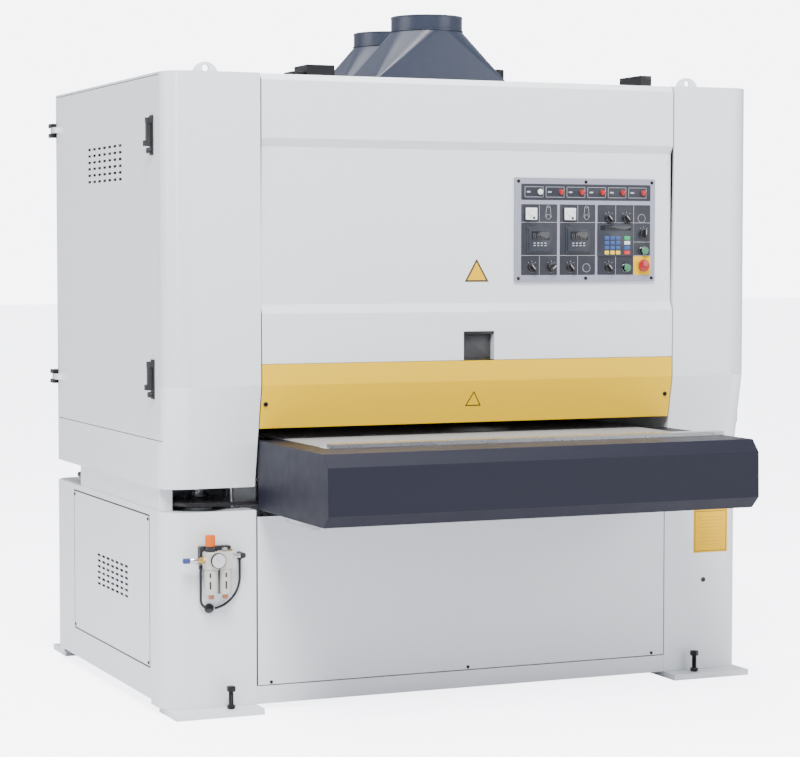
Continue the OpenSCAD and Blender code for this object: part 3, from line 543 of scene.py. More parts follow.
def levelling_bolt(part, at, top):
    """Threaded shank, hexagonal nut on the plate and hexagonal head with a washer face."""
    pitch = 0.002
    z = np.arange(0.0, top - 0.016, pitch / 4)
    ridge = 0.0072 + 0.0008 * np.abs(((z / pitch) % 1) * 2 - 1)
    part.turned(at, Z, np.stack([ridge, z], -1), 0, 20)
    part.turned(at, Z, [(0.0118, 0.0205), (0.0135, 0.022), (0.0135, 0.0315), (0.0118, 0.033)], 0, 6)
    head = [(0.0125, top - 0.018), (0.0145, top - 0.0155), (0.0145, top - 0.0015), (0.012, top)]
    part.turned(at, Z, head, 0, 6)


def make_conveyor():
    finished_copy("conveyor_covers", sharp=15)
    finished_copy("conveyor_bed")
    painted("conveyor_belt")
    finished_copies("conveyor_drive_roller", "conveyor_idler_roller", "gearmotors", "tracking_cylinder")
    belt_relief()


def belt_relief():
    """Zigzag ribs on the open ends of the feed belt: height = rib x triangle wave of y plus zigzag of x."""
    s = sizes()
    low, high = LOW["conveyor_belt"], HIGH["conveyor_belt"]
    inner, outer = 0.60, 0.95
    ribs = Surfaces()
    x = np.linspace(low[0] + 0.004, high[0] - 0.004, 430)
    for side in (-1, 1):
        y = side * np.linspace(inner, outer, 118)
        gx, gy = np.meshgrid(x, y)
        zig = np.abs(((gx / s.zigzag) % 1) - 0.5) * s.zigzag * 0.8
        wave = np.abs((((gy + zig) / s.rib_pitch) % 1) - 0.5) * 2
        height = np.clip(wave * 1.8 - 0.45, 0, 1) * s.rib
        edge = (gx <= x[0]) | (gx >= x[-1]) | (np.abs(gy) <= inner) | (np.abs(gy) >= outer)
        gz = high[2] + np.where(edge, -0.0005, height)
        ribs.loft(np.stack([gx, gy, gz], -1), 0, (False, False), closed=False)
    ribs.build("feed_belt_ribs", [rib_material()], "base", sharp=60)


def rib_material():
    """Belt rubber, pale on the ribs and dusty dark between them, by height."""
    material = finish("Ribbed belt", (0.31, 0.315, 0.32), 0.8, vary=0.1, grime=0.1, scale=6)
    tree = material.node_tree
    handled = next(n for n in tree.nodes if n.bl_idname == "ShaderNodeGroup" and "Colour" in n.outputs)
    where = tree.nodes.new("ShaderNodeSeparateXYZ")
    link(tree, object_place(tree), where.inputs[0])
    # Painted shade: the factor rises from the rib tops down to the belt face, darkening the grooves.
    groove_shade = tree.nodes.new("ShaderNodeMapRange")
    top = float(HIGH["conveyor_belt"][2])
    put(groove_shade, {"From Min": top, "From Max": top + sizes().rib, "To Min": 0.75, "To Max": 0.0})
    link(tree, where.outputs["Z"], groove_shade.inputs["Value"])
    mix = tree.nodes.new("ShaderNodeMix")
    mix.data_type = "RGBA"
    put(mix, {"B": (0.05, 0.05, 0.055, 1)})
    link(tree, groove_shade.outputs["Result"], mix.inputs["Factor"])
    link(tree, handled.outputs["Colour"], mix.inputs["A"])
    link(tree, mix.outputs["Result"], shader_of(material).inputs["Base Color"])
    return material


def make_lift():
    finished_copies("lift_chain", "lift_nuts", edge=0.001)
    finished_copy("limit_rods", 0.0005)
    for node in [n for n in frame["nodes"] if n.startswith("jack_screw")]:
        sprocket_and_screw(node)


def sprocket_and_screw(node, teeth=34, pitch=0.006, around=24):
    """Screw as a helix-cut surface r = root + depth x triangle wave, and a toothed disc with its hub."""
    low, high = LOW[node], HIGH[node]
    foot = (low + high) / 2 * [1, 1, 0]
    part = Surfaces()
    t = np.arange(around) / around
    z = np.linspace(low[2], high[2], 420)
    wave = np.abs(((z[:, None] / pitch - t[None]) % 1) * 2 - 1)
    radius = 0.018 - sizes().thread * (1 - np.clip(wave * 1.5 - 0.25, 0, 1))
    angle = 2 * math.pi * t[None]
    rings = np.stack([foot[0] + radius * np.cos(angle), foot[1] + radius * np.sin(angle),
                      np.repeat(z[:, None], around, 1)], -1)
    part.loft(rings, 0)
    a = np.linspace(0, 2 * math.pi, teeth * 8, endpoint=False)
    tip = (high[0] - low[0]) / 2
    edge = tip - 0.0065 * (0.5 + 0.5 * np.cos(a * teeth)) ** 1.4
    outline = np.stack([edge * np.cos(a), edge * np.sin(a)], -1)
    disc_z, disc_t, hub_z = 0.662, 0.018, 0.69
    part.prism(outline, foot + disc_z * Z, X, Y, disc_t, 1)
    hub = [(0.019, 0.655), (0.045, 0.655), (0.045, 0.6565), (0.0435, 0.688), (0.042, hub_z), (0.019, hub_z)]
    part.turned(foot, Z, hub, 1, 40)
    for k in range(4):
        b = math.pi / 4 + k * math.pi / 2
        at = foot + [0.033 * math.cos(b), 0.033 * math.sin(b), hub_z]
        button_screw(part, at, Z, 0.005, 1)
    part.stand_for(node, [material_of("limit_rods"), material_of(node)])


def make_air_unit():
    """Filter and lubricator with gauge, regulator and fittings on the left base column."""
    materials = [
        finish("Bowl guard", (0.55, 0.54, 0.49), 0.4, 0.1, 800, 0.00005, vary=0.05),
        material_of("air_service_unit"),
        finish("Fitting chrome", (0.62, 0.62, 0.63), 0.16, 1.0, 900, 0.00002),
        material_of("lift_nuts"),
        finish("Dial face", (0.75, 0.76, 0.78), 0.4),
        finish("Fitting blue", (0.03, 0.05, 0.22), 0.35),
        clear_plastic(),
        finish("Bowl dark", (0.03, 0.03, 0.035), 0.3),
        finish("Drain amber", (0.42, 0.15, 0.05), 0.25),
    ]
    wall_y = HIGH["air_service_unit"][1]
    y = wall_y - 0.045
    part = Surfaces()
    for x, turn in ((-0.918, -0.45), (-0.872, -0.15)):
        filter_bowl(part, x, y, turn)
    # A dark strip in the gap between the two bowls: painted shade.
    part.plate((-0.895, y - 0.006, 0.431), X, Z, 0.003, 0.076, 0.004, DARK, 0.001)
    part.plate((-0.896, wall_y, 0.514), X, Z, 0.104, 0.056, 0.024, BLACK, 0.004, 0.001)
    block_top = 0.527
    collar = [(0.0155, 0), (0.0155, 0.011), (0.0135, 0.013), (0.0135, 0.0175)]
    part.turned((-0.921, y, block_top), Z, collar, BLACK, 32)
    dome = [(0.011, 0), (0.011, 0.004), (0.0095, 0.009), (0.006, 0.0125), (0.001, 0.0135)]
    part.turned((-0.872, y, block_top), Z, dome, CLEAR, 24)
    part.turned((-0.852, y, block_top), Z, [(0.005, 0), (0.005, 0.006), (0.0035, 0.008)], BRASS, 6)
    pressure_gauge(part, np.array([-0.903, y - 0.021, 0.501]))
    air_fittings(part, y, wall_y)
    part.stand_for("air_service_unit", materials)
    regulator_knob()
    painted("air_hose")


def filter_bowl(part, x, y, turn):
    """Block, guarded bowl with two slots turned from the front, and drain."""
    part.plate((x, y + 0.021, 0.4995), X, Z, 0.044, 0.056, 0.042, GUARD, 0.006, 0.002)
    bowl = [(0.0185, 0.392), (0.0205, 0.394), (0.0212, 0.398), (0.0212, 0.452), (0.0218, 0.4525),
            (0.0218, 0.47), (0.019, 0.4725)]
    part.turned((x, y, 0), Z, bowl, GUARD, 36)
    d = np.array([math.sin(turn), -math.cos(turn), 0])
    for z, h in ((0.4545, 0.016), (0.4225, 0.025)):
        at = np.array([x, y, z]) + d * 0.0205
        part.plate(at, np.cross(Z, d), Z, 0.0058, h, 0.0014, DARK, 0.0025, 0.0002)
    drain = [(0.004, 0), (0.0085, 0.001), (0.0095, 0.005), (0.0095, 0.0165)]
    part.turned((x, y, 0.376), Z, drain, AMBER, 24)


def pressure_gauge(part, at):
    """Case, rim, dial, eleven marks and a needle, facing the front."""
    case = [(0.0225, 0), (0.0245, 0.001), (0.0245, 0.0115), (0.0238, 0.0128), (0.0225, 0.0128),
            (0.022, 0.0105), (0.0002, 0.0105)]
    part.turned(at, -Y, case, BLACK, 44)
    part.turned(at - 0.0106 * Y, -Y, [(0.0222, 0), (0.0222, 0.001), (0.0205, 0.001)], CHROME, 44)
    part.turned(at - 0.0106 * Y, -Y, [(0.0208, 0), (0.0208, 0.0003), (0.0001, 0.0003)], FACE, 40)
    for k in range(11):
        tick(part, at - 0.011 * Y, math.radians(225 - 27 * k), 0.0172, 0.0045, 0.0007, DARK)
    tick(part, at - 0.0113 * Y, 2.2, 0.006, 0.019, 0.0011, DARK, 0.0003, 0.0001)


def air_fittings(part, y, wall_y):
    """Inlet on the left, outlet elbow on the right, hose ferrules and the bush in the column."""
    left = np.array([-0.94, y, 0.502])
    part.turned(left, -X, [(0.011, 0), (0.011, 0.012), (0.008, 0.013), (0.008, 0.026)], BRASS, 6)
    sleeve = [(0.0075, 0), (0.009, 0.002), (0.009, 0.022), (0.007, 0.025)]
    part.turned(left - 0.025 * X, -X, sleeve, CHROME, 28)
    cap = [(0.0065, 0), (0.009, 0.002), (0.009, 0.02), (0.006, 0.023)]
    part.turned(left - 0.049 * X, -X, cap, BLUE, 28)
    hose_y, outlet_x = wall_y - 0.014, -0.812
    ferrule = [(0.0055, 0), (0.006, 0.001), (0.006, 0.0105), (0.005, 0.0115)]
    part.turned((-0.943, hose_y, 0.4815), -Z, ferrule, BLACK, 24)
    nut = [(0.011, 0), (0.011, 0.012), (0.007, 0.013), (0.007, 0.03)]
    part.turned((-0.852, y, 0.511), X, nut, CHROME, 6)
    elbow = [(0.007, 0), (0.0095, 0.003), (0.0095, 0.043), (0.006, 0.047)]
    part.turned((outlet_x, y - 0.007, 0.511), Y, elbow, BLACK, 28)
    drop = [(0.006, 0), (0.0085, 0.002), (0.0085, 0.012), (0.0065, 0.018)]
    part.turned((outlet_x, hose_y, 0.512), -Z, drop, BLACK, 28)
    bush = [(0.016, 0), (0.016, 0.003), (0.0145, 0.008), (0.011, 0.014), (0.006, 0.019), (0.003, 0.021)]
    part.turned((-0.911, wall_y, 0.341), -Y, bush, BLACK, 36)


def regulator_knob():
    """Fluted knob on a stem: its rim's radius falls by a cosine bump at each flute."""
    node = "regulator_knob"
    low, high = LOW[node], HIGH[node]
    foot = (low + high) / 2 * [1, 1, 0]
    knob = Surfaces()
    t = np.linspace(0, 2 * math.pi, 96, endpoint=False)
    flute = 0.016 - 0.0007 * (0.5 + 0.5 * np.cos(t * 24)) ** 2
    rim = np.stack([flute * np.cos(t), flute * np.sin(t), np.zeros(96)], -1)
    steps = [(0.9, 0.545), (1.0, 0.5465), (1.0, 0.5765), (0.95, 0.5795), (0.8, 0.581)]
    knob.loft([foot + k * rim + z * Z for k, z in steps], 0)
    knob.turned(foot, Z, [(0.006, low[2]), (0.006, 0.546)], 0, 24)
    knob.stand_for(node)


def make_guard_and_roof():
    finished_copy("feed_guard", 0.0012, segments=3)
    finished_copy("dust_hoods")
    finished_copy("roof_fittings", 0.002)
    rims = Surfaces()
    top, roof = HIGH["dust_hoods"][2], HIGH["top_cover"][2]
    lower_rim = [(0.1212, 0), (0.1245, 0.001), (0.1245, 0.005), (0.1212, 0.006)]
    upper_rim = [(0.1213, 0), (0.1228, 0.0015), (0.1228, 0.0045), (0.1213, 0.0058)]
    for x, y in ((-0.02, -0.34), (0.088, 0.26)):
        rims.turned((x, y, top - 0.052), Z, lower_rim, 0, 64)
        rims.turned((x, y, top - 0.006), Z, upper_rim, 0, 64)
        for sx in (-1, 1):
            for sy in (-1, 1):
                at = (x + sx * 0.258, y + sy * 0.128, roof + 0.003)
                button_screw(rims, at, Z, 0.006, 1)
    paint = [material_of("dust_hoods"), material_of("panel_screws")]
    rims.build("hood_rims", paint, "head")
    marks = Surfaces()
    for x in (-0.731, 0.725):
        button_screw(marks, guard_point(x, 0.99), GUARD_OUT, 0.0075, 0)
    sign_triangle(marks, guard_point(0.0, 0.983), X, GUARD_UP, 0.058, 0)
    marks.build("guard_screws_and_mark", [material_of("panel_screws")], "head")


# How far the guard's face comes forward for each metre upwards, and its two directions
GUARD_SLOPE = 0.065 / 0.328
GUARD_UP = unit([0, -GUARD_SLOPE, 1])
GUARD_OUT = np.cross(X, GUARD_UP)


def guard_point(x, z):
    """A point on the sloped face of the feed guard."""
    fold_z = 1.05
    return np.array([x, LOW["feed_guard"][1] + GUARD_SLOPE * (fold_z - z), z])


def triangle(side):
    """Corners of an equal-sided triangle around its middle, the first one upwards."""
    angles = math.pi / 2 + np.arange(3) * 2 * math.pi / 3
    return side / math.sqrt(3) * np.stack([np.cos(angles), np.sin(angles)], -1)


def sign_triangle(part, centre, u, v, side, index, thick=FIELD, line=0.07):
    """Outline of an equal-sided triangle: three bars with mitred ends."""
    corners = triangle(side)
    inner = 1 - 2.6 * line
    for a, b in zip(corners, np.roll(corners, -1, 0)):
        part.prism([a, b, b * inner, a * inner], centre, u, v, thick, index)


def make_doors():
    painted("left_door", "right_side_panel")
    finished_copy("door_hinges", 0.0012)
    finished_copy("handle_plates")
    finished_copies("door_handle_upper", "door_handle_lower", edge=0.003, segments=3)
    leaf = Surfaces()
    face_x = LOW["left_door"][0]
    knuckle = [(0.0095, -0.0092), (0.0098, -0.009), (0.0098, 0.009), (0.0095, 0.0092)]
    for z in (1.025, 1.914):
        leaf.plate((face_x + 0.021, 0.585, z), -Y, Z, 0.036, 0.0186, 0.0025, 0, 0.003, 0.0006)
        leaf.turned((-1.07, 0.618, z), Z, knuckle)
    lock = [(0.0085, 0), (0.0085, 0.0008), (0.007, 0.0012), (0.0018, 0.0012)]
    for z in (1.021, 1.795):
        leaf.turned((face_x + 0.003, -0.54, z), -X, lock, 1, 28)
    steel = [material_of("door_hinges"), material_of("limit_rods")]
    leaf.build("door_hinge_leaves", steel, "door")


def label_yellow():
    """Yellow of the printed labels."""
    return finish("Label yellow", (0.80, 0.46, 0.0), 0.5, bump=0.00001, specular=0.2)


def make_stickers():
    """Plain marks without lettering: a yellow triangle, a yellow label and a hole plug."""
    black = finish("Label ink", (0.015, 0.015, 0.015), 0.5, bump=0.00001)
    faint = finish("Label lines", (0.55, 0.33, 0.03), 0.5, bump=0.00001)
    sign = Surfaces()
    at = np.array([0.0125, LOW["front_fascia"][1] + 0.015, 1.402])
    sign.prism(triangle(0.089), at, X, Z, 0.0004, 0)
    sign_triangle(sign, at - 0.0004 * Y, X, Z, 0.087, 1, 0.0003, 0.08)
    sign.build("fascia_mark", [label_yellow(), black], "head")
    label = Surfaces()
    base_y = LOW["base_right_housing"][1]
    at = np.array([0.933, base_y, 0.503])
    label.plate(at, X, Z, 0.136, 0.15, 0.0005, 0, 0.003, 0.0002)
    at = at - 0.0005 * Y
    label.border(at, X, Z, 0.126, 0.14, 0.0018, LINE, 1)
    for k in range(9):
        width = 0.1 - 0.012 * (k % 3)
        label.plate(at + (0.05 - 0.0122 * k) * Z, X, Z, width, 0.0024, LINE, 2, bevel=FINE)
    plug = [(0.0085, 0), (0.0085, 0.0015), (0.0065, 0.0022), (0.001, 0.0022)]
    label.turned((0.905, base_y, 0.333), -Y, plug, 1, 28)
    label.build("base_label_and_plug", [label_yellow(), black, faint], "base")


# ---------- control panel ----------

def panel_point(x, z, out=0.0):
    """A point on the panel's face, from its lower left corner, in metres."""
    return LOW["control_panel"] + [x, -out, z]


def panel_lines():
    """Pale print of the control panel."""
    return finish("Panel lines", (0.42, 0.43, 0.46), 0.45, bump=0.00001)


def field(part, x, z, width, height):
    """A printed field on the panel's face."""
    part.plate(panel_point(x, z), X, Z, width, height, FIELD, 0, 0.003, 0.0002)


def bar(part, x, z, width, height, corner=0.0):
    """A thin printed bar on the panel's face."""
    part.plate(panel_point(x, z, FIELD), X, Z, width, height, LINE, 1, corner, FINE)


def key(part, x, z, out, width, height, index):
    """A key that stands a little out of its module."""
    part.plate(panel_point(x, z, out), X, Z, width, height, 0.0012, index, 0.0015, 0.0004)


def tick(part, pivot, angle, radius, length, width, index, thick=LINE, bevel=FINE):
    """A bar that points away from a pivot, at an angle in radians from X towards Z."""
    d = np.array([math.cos(angle), 0, math.sin(angle)])
    part.plate(pivot + d * radius, d, np.cross(d, Y), length, width, thick, index, bevel=bevel)


def ring_mark(part, x, z, radius, line, segments):
    """A printed circle: a pale disc with a dark one over it."""
    inner = radius - line + 0.0001
    pale = [(radius, 0), (radius, LINE), (radius - line, LINE)]
    part.turned(panel_point(x, z, FIELD), -Y, pale, 1, segments)
    dark = [(inner, 0), (inner, LINE), (0.001, LINE)]
    part.turned(panel_point(x, z, FIELD + 0.0001), -Y, dark, 0, segments)


SELECTORS = [(0.063, 0.047), (0.136, 0.047), (0.208, 0.047), (0.353, 0.213), (0.420, 0.213), (0.487, 0.163),
             (0.353, 0.047)]
POINTERS = [-40, 50, -40, -40, -40, 0, -40]
STARTS = {"start_button_upper": (0.487, 0.105), "start_button_lower": (0.420, 0.047)}
STOP = (0.481, 0.054)
LAMP_Z, LAMP_STEP = 0.3, 0.0784  # height of the row of lamps and distance between two
RULE = 0.0012  # width of the panel's ruled lines
BLOCKS = [(0.090, 0.134), (0.234, 0.134), (0.411, 0.203)]


def make_panel():
    finished_copy("control_panel", 0.0012)
    dark = finish("Panel print", (0.017, 0.019, 0.028), 0.45, bump=0.00002)
    part = Surfaces()
    field(part, 0.268, LAMP_Z, 0.490, 0.054)
    for k in range(6):
        at = panel_point(0.0705 + LAMP_STEP * k, LAMP_Z, FIELD)
        part.border(at, X, Z, 0.069, 0.035, RULE, LINE, 1)
        bar(part, 0.0505 + LAMP_STEP * k, LAMP_Z, 0.014, 0.005, corner=0.002)
    for x, width in BLOCKS:
        field(part, x, 0.141, width, 0.236)
        for z in (0.0885, 0.199):
            bar(part, x, z, width, RULE)
    for x in (0.0905, 0.2345):
        for z, height in ((0.0545, 0.064), (0.229, 0.056)):
            bar(part, x, z, RULE, height)
    for x, z, height in ((0.379, 0.229, 0.058), (0.448, 0.141, 0.232), (0.379, 0.055, 0.064)):
        bar(part, x, z, RULE, height)
    bar(part, 0.480, 0.134, 0.064, RULE)
    part.plate(panel_point(*STOP, FIELD), X, Z, 0.066, 0.064, FIELD, 2, 0.002, 0.0002)
    for x in (0.124, 0.268):
        for z, radius in ((0.2175, 0.0085), (0.2515, 0.0042)):
            ring_mark(part, x, z, radius, 0.001, 32)
        for s in (-1, 1):
            foot = panel_point(x + s * 0.0105, 0.216, FIELD)
            tip = panel_point(x + s * 0.0062, 0.2525, FIELD)
            d = unit(tip - foot)
            part.plate((foot + tip) / 2, np.cross(d, -Y), d, 0.001, 0.037, LINE, 1, bevel=FINE)
    for x, z in ((0.268, 0.047), (0.479, 0.214)):
        ring_mark(part, x, z, 0.0145, RULE, 36)
    for x, z in SELECTORS:
        for degrees in (125, 90, 55):
            tick(part, panel_point(x, z, FIELD), math.radians(degrees), 0.0215, 0.004, 0.0013, 1)
    part.build("panel_print", [dark, panel_lines(), label_yellow()], "head")
    screws = Surfaces()
    for x in (0.013, 0.2655, 0.518):
        for z in (0.012, 0.335):
            button_screw(screws, panel_point(x, z), -Y)
    screws.build("panel_face_screws", [material_of("panel_screws")], "head")


def make_instruments():
    case = material_of("panel_instruments")
    display = finish("Display glass", (0.01, 0.012, 0.016), 0.12, bump=0.000005)
    make_meters(case)
    make_timers(case, display)
    make_keypad(case, display)
    make_lamps(case)


def make_meters(case):
    """Two meters with a scale of thirteen marks and a pointer."""
    dial = finish("Meter dial", (0.80, 0.81, 0.83), 0.4, bump=0.00001)
    ink = finish("Meter ink", (0.02, 0.02, 0.022), 0.5, bump=0.00001)
    part = Surfaces()
    hub = [(0.0042, 0), (0.0042, 0.0008), (0.0036, 0.0012), (0.0005, 0.0012)]
    for x in (0.058, 0.203):
        part.plate(panel_point(x, 0.227), X, Z, 0.046, 0.044, 0.007, 0, 0.003, 0.0012)
        part.plate(panel_point(x, 0.227, 0.007), X, Z, 0.042, 0.040, 0.0008, 1, 0.002, 0.0002)
        part.turned(panel_point(x + 0.009, 0.2135, 0.0078), -Y, hub, 2, 28)
        pivot = panel_point(x, 0.216, 0.0079)
        for k in range(13):
            long = 0.003 if k % 3 else 0.0048
            tick(part, pivot, math.radians(140 - 100 * k / 12), 0.022, long, 0.0006, 2)
        tick(part, pivot - 0.0002 * Y, 2.3, 0.0105, 0.021, 0.0009, 2, 0.0003)
    part.build("panel_meters", [case, dial, ink], "head", ["panel_instruments"])


def make_timers(case, display):
    """Two timer modules with four digits and two rows of keys."""
    digit = finish("Display digits", (0.07, 0.07, 0.065), 0.3, bump=0.00001)
    keys = finish("Timer keys", (0.42, 0.43, 0.45), 0.5)
    part = Surfaces()
    for x in (0.091, 0.236):
        part.plate(panel_point(x, 0.141), X, Z, 0.096, 0.092, 0.004, 0, 0.003, 0.001)
        part.plate(panel_point(x, 0.141, 0.004), X, Z, 0.084, 0.08, 0.005, 0, 0.004, 0.0015)
        part.plate(panel_point(x, 0.154, 0.009), X, Z, 0.066, 0.03, FIELD, 1, 0.002, 0.0002)
        left = x - 0.0225
        for k in range(4):
            at = panel_point(left + 0.015 * k, 0.154, 0.0096)
            part.border(at, X, Z, 0.009, 0.017, 0.0016, LINE, 2)
            part.plate(at, X, Z, 0.007, 0.0016, LINE, 2, bevel=FINE)
            for z in (0.1295, 0.1215):
                key(part, left + 0.0135 * k, z, 0.009, 0.0075, 0.0036, 3)
    part.build("panel_timers", [case, display, digit, keys], "head")


def make_keypad(case, display):
    """Controller with six digits, a block of twelve keys and a column of four."""
    paint = [case, display, finish("Faint digits", (0.05, 0.05, 0.055), 0.3)]
    paint += [finish("Key " + name, base, 0.45) for name, base in (
        ("blue", (0.03, 0.075, 0.24)), ("yellow", (0.8, 0.55, 0.04)), ("green", (0.02, 0.35, 0.13)),
        ("white", (0.65, 0.67, 0.7)), ("red", (0.55, 0.03, 0.03)))]
    blue, yellow, green, white, red = range(3, 8)
    part = Surfaces()
    out = 0.0045
    part.plate(panel_point(0.378, 0.1415), X, Z, 0.137, 0.112, out, 0, 0.003, 0.001)
    part.plate(panel_point(0.378, 0.181, out), X, Z, 0.118, 0.018, FIELD, 1, 0.002, 0.0002)
    for k in range(6):
        at = panel_point(0.342 + 0.0115 * k, 0.181, out + FIELD)
        part.border(at, X, Z, 0.0065, 0.0125, 0.0013, LINE, 2)
    rows = [0.1476 - 0.0165 * row for row in range(4)]
    for z in rows:
        for column in range(3):
            key(part, 0.3435 + 0.0215 * column, z, out, 0.0165, 0.0125, yellow if z == rows[3] else blue)
    for z, index in zip(rows, (green, white, blue, red)):
        key(part, 0.4215, z, out, 0.022, 0.0125, index)
    part.build("thickness_keypad", paint, "head")


def make_lamps(case):
    """A row of six lamps, the first one white."""
    white = glow("Lamp white", (0.75, 0.76, 0.78), 0.1)
    red = glow("Lamp red", (0.34, 0.012, 0.012), 0.1)
    collar = [(0.0115, 0), (0.0115, 0.002), (0.0106, 0.0032), (0.0098, 0.0032)]
    dome = [(0.0098, 0), (0.0098, 0.002), (0.0085, 0.0042), (0.005, 0.0055), (0.0005, 0.006)]
    part = Surfaces()
    for k in range(6):
        at = panel_point(0.0927 + LAMP_STEP * k, LAMP_Z)
        part.turned(at, -Y, collar)
        part.turned(at - 0.003 * Y, -Y, dome, 1 if k == 0 else 2, 32)
    part.build("indicator_lamps", [case, white, red], "head")


def make_controls():
    chrome = finish("Control rings", (0.12, 0.125, 0.13), 0.25, 1.0, 900, 0.00002)
    rings = Surfaces()
    start_ring = [(0.0092, 0.0), (0.0155, 0), (0.0155, 0.0016), (0.0145, 0.0024), (0.0096, 0.0024)]
    selector_ring = [(0.0155, 0), (0.0165, 0), (0.0165, 0.0016), (0.0158, 0.0018)]
    for places, profile in ((STARTS.values(), start_ring), (SELECTORS, selector_ring)):
        for x, z in places:
            rings.turned(panel_point(x, z), -Y, profile, 0, 36)
    rings.build("control_rings", [chrome], "head")
    stem = [(0.009, 0), (0.009, 0.028)]
    cap = stem + [(0.0125, 0.0282), (0.013, 0.029), (0.013, 0.033), (0.012, 0.0338), (0.001, 0.034)]
    mushroom = stem + [(0.0165, 0.0285), (0.0185, 0.031), (0.021, 0.0335), (0.0212, 0.0365),
                       (0.019, 0.0398), (0.0135, 0.0416), (0.001, 0.042)]
    disc = [(0.009, 0), (0.009, 0.0203), (0.015, 0.0204), (0.015, 0.0285), (0.0138, 0.0302), (0.001, 0.0303)]
    for node, place_on_panel in STARTS.items():
        button = Surfaces()
        button.turned(panel_point(*place_on_panel, -0.02), -Y, cap, 0, 36)
        button.stand_for(node)
    stop = Surfaces()
    stop.turned(panel_point(*STOP, -0.02), -Y, mushroom, 0, 48)
    stop.stand_for("e_stop_button")
    for k, (x, z) in enumerate(SELECTORS):
        node = f"selector_{k + 1}"
        knob = Surfaces()
        knob.turned(panel_point(x, z, -0.02), -Y, disc, 0, 36)
        turn = math.radians(POINTERS[k])
        pointer = np.array([math.sin(turn), 0, math.cos(turn)])
        side = np.array([math.cos(turn), 0, -math.sin(turn)])
        knob.plate(panel_point(x, z, 0.009), side, pointer, 0.0085, 0.0272, 0.0125, 0, 0.003, 0.0014)
        at = panel_point(x, z, 0.0215) + 0.004 * pointer
        knob.plate(at, side, pointer, 0.0022, 0.017, LINE, 1, bevel=FINE)
        knob.stand_for(node, [material_of(node), panel_lines()])


def make_sanding_heads():
    finished_copy("head_beams", 0.002)
    painted("sanding_belts", "drive_v_belts")
    finished_copies("contact_drum_front", "contact_drum_rear", "tension_roller_front",
                    "tension_roller_rear", "main_motors")


# ---------- stage ----------

def make_stage():
    camera = add_object("Camera", bpy.data.cameras.new("Camera"))
    camera.location = (-3.2860, -7.6780, 1.4656)
    camera.rotation_euler = (math.radians(90 - 3.027), 0, -0.40748)
    camera.data.sensor_width = 36
    camera.data.lens = sizes().lens
    bpy.context.scene.camera = camera
    mesh = bpy.data.meshes.new("floor")
    half = 60.0
    corners = [(-half, -half, 0), (half, -half, 0), (half, half, 0), (-half, half, 0)]
    mesh.from_pydata(corners, [], [(0, 1, 2, 3)])
    mesh.materials.append(floor_finish())
    add_object("floor", mesh)
    world = bpy.data.worlds.new("Studio")
    bpy.context.scene.world = world
    world.use_nodes = True
    tree = world.node_tree
    background = tree.nodes["Background"]
    put(background, {"Color": STUDIO})
    seen = tree.nodes.new("ShaderNodeLightPath").outputs["Is Camera Ray"]
    link(tree, math_node(tree, "MULTIPLY_ADD", seen, 6.4, 0.7), background.inputs["Strength"])
    add_light("key", (-2.2, -5.2, 7.5), (0, 0, 0.9), 3.0, 1150)
    add_light("fill", (5.0, -6.5, 3.0), (0, 0, 1.0), 4.0, 190)
    add_light("side", (-7.5, 0.5, 3.0), (0, 0, 1.0), 4.0, 230)
    add_light("top", (0, 0.5, 6.5), (0, 0, 1), 5.0, 460)


def floor_finish():
    """Pale floor that is lit brighter to the eye than to the machine."""
    material = finish("Studio floor", paints().floor, 0.9, vary=0.0, grime=0.0, bump=0.0, specular=0.1)
    tree = material.node_tree
    shader = shader_of(material)
    seen = tree.nodes.new("ShaderNodeLightPath").outputs["Is Camera Ray"]
    put(shader, {"Emission Color": STUDIO})
    link(tree, math_node(tree, "MULTIPLY", seen, 5.0), shader.inputs["Emission Strength"])
    return material


def add_light(name, at, towards, size, power):
    """A square area light that faces a point."""
    light = bpy.data.lights.new(name, "AREA")
    light.size = size
    light.energy = power
    lamp = add_object(name, light)
    lamp.location = at
    d = np.array(towards) - np.array(at)
    lamp.rotation_euler = (math.atan2(math.hypot(d[0], d[1]), -d[2]), 0, math.atan2(-d[0], d[1]))


# ---------- operators ----------

def operator(idname, label, text, make):
    """One operator class that runs one making function."""
    def execute(self, context):
        make()
        return {"FINISHED"}
    body = {"bl_idname": "sander." + idname, "bl_label": label, "__doc__": text,
            "execute": execute, "bl_options": {"REGISTER", "UNDO"}}
    return type("SANDER_OT_" + idname, (bpy.types.Operator,), body)


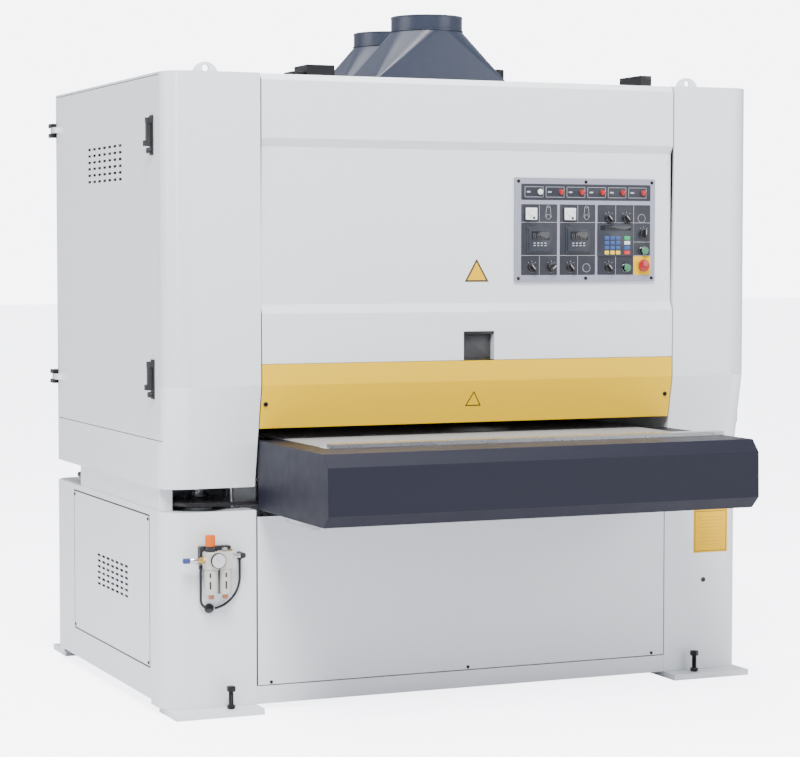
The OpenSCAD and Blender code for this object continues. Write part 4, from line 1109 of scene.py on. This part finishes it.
OPERATORS = [
    operator("stage", "Stage", "Floor, lights and camera", make_stage),
    operator("housings", "Housings", "Columns, beams, fascias and covers of base and head", make_housings),
    operator("base_fittings", "Base fittings", "Panels, screws and levelling bolts", make_base_fittings),
    operator("conveyor", "Conveyor", "Covers, bed, belt and rollers", make_conveyor),
    operator("lift", "Lift", "Jackscrews, sprockets, nuts and chain", make_lift),
    operator("air_unit", "Air service unit", "Filter, regulator, gauge and hose", make_air_unit),
    operator("guard_and_roof", "Guard and roof", "Feed guard, hoods and roof fittings", make_guard_and_roof),
    operator("doors", "Doors", "Left door, right panel, hinges and handles", make_doors),
    operator("stickers", "Marks", "Plain labels without lettering", make_stickers),
    operator("panel", "Control panel", "Panel plate, print and screws", make_panel),
    operator("instruments", "Instruments", "Meters, timers, keypad and lamps", make_instruments),
    operator("controls", "Controls", "Buttons and selectors", make_controls),
    operator("sanding_heads", "Sanding heads", "Drums, rollers, belts and motors", make_sanding_heads),
]


class SANDER_PT_pieces(bpy.types.Panel):
    """Lists the machine's pieces."""
    bl_label = "Wide-belt sander"
    bl_idname = "SANDER_PT_pieces"
    bl_space_type = "VIEW_3D"
    bl_region_type = "UI"
    bl_category = "Sander"

    def draw(self, context):
        for group in (context.scene.sander_paints, context.scene.sander_sizes):
            for name in group.bl_rna.properties.keys():
                if name not in ("rna_type", "name"):
                    self.layout.prop(group, name)
        for cls in OPERATORS:
            self.layout.operator(cls.bl_idname)


CLASSES = [SanderPaints, SanderSizes, *OPERATORS, SANDER_PT_pieces]


def register():
    for cls in CLASSES:
        bpy.utils.register_class(cls)
    bpy.types.Scene.sander_paints = bpy.props.PointerProperty(type=SanderPaints)
    bpy.types.Scene.sander_sizes = bpy.props.PointerProperty(type=SanderSizes)


def unregister():
    del bpy.types.Scene.sander_sizes
    del bpy.types.Scene.sander_paints
    for cls in reversed(CLASSES):
        bpy.utils.unregister_class(cls)


def main():
    register()
    for cls in OPERATORS:
        group, name = cls.bl_idname.split(".")
        getattr(getattr(bpy.ops, group), name)()


if __name__ == "__main__":
    main()
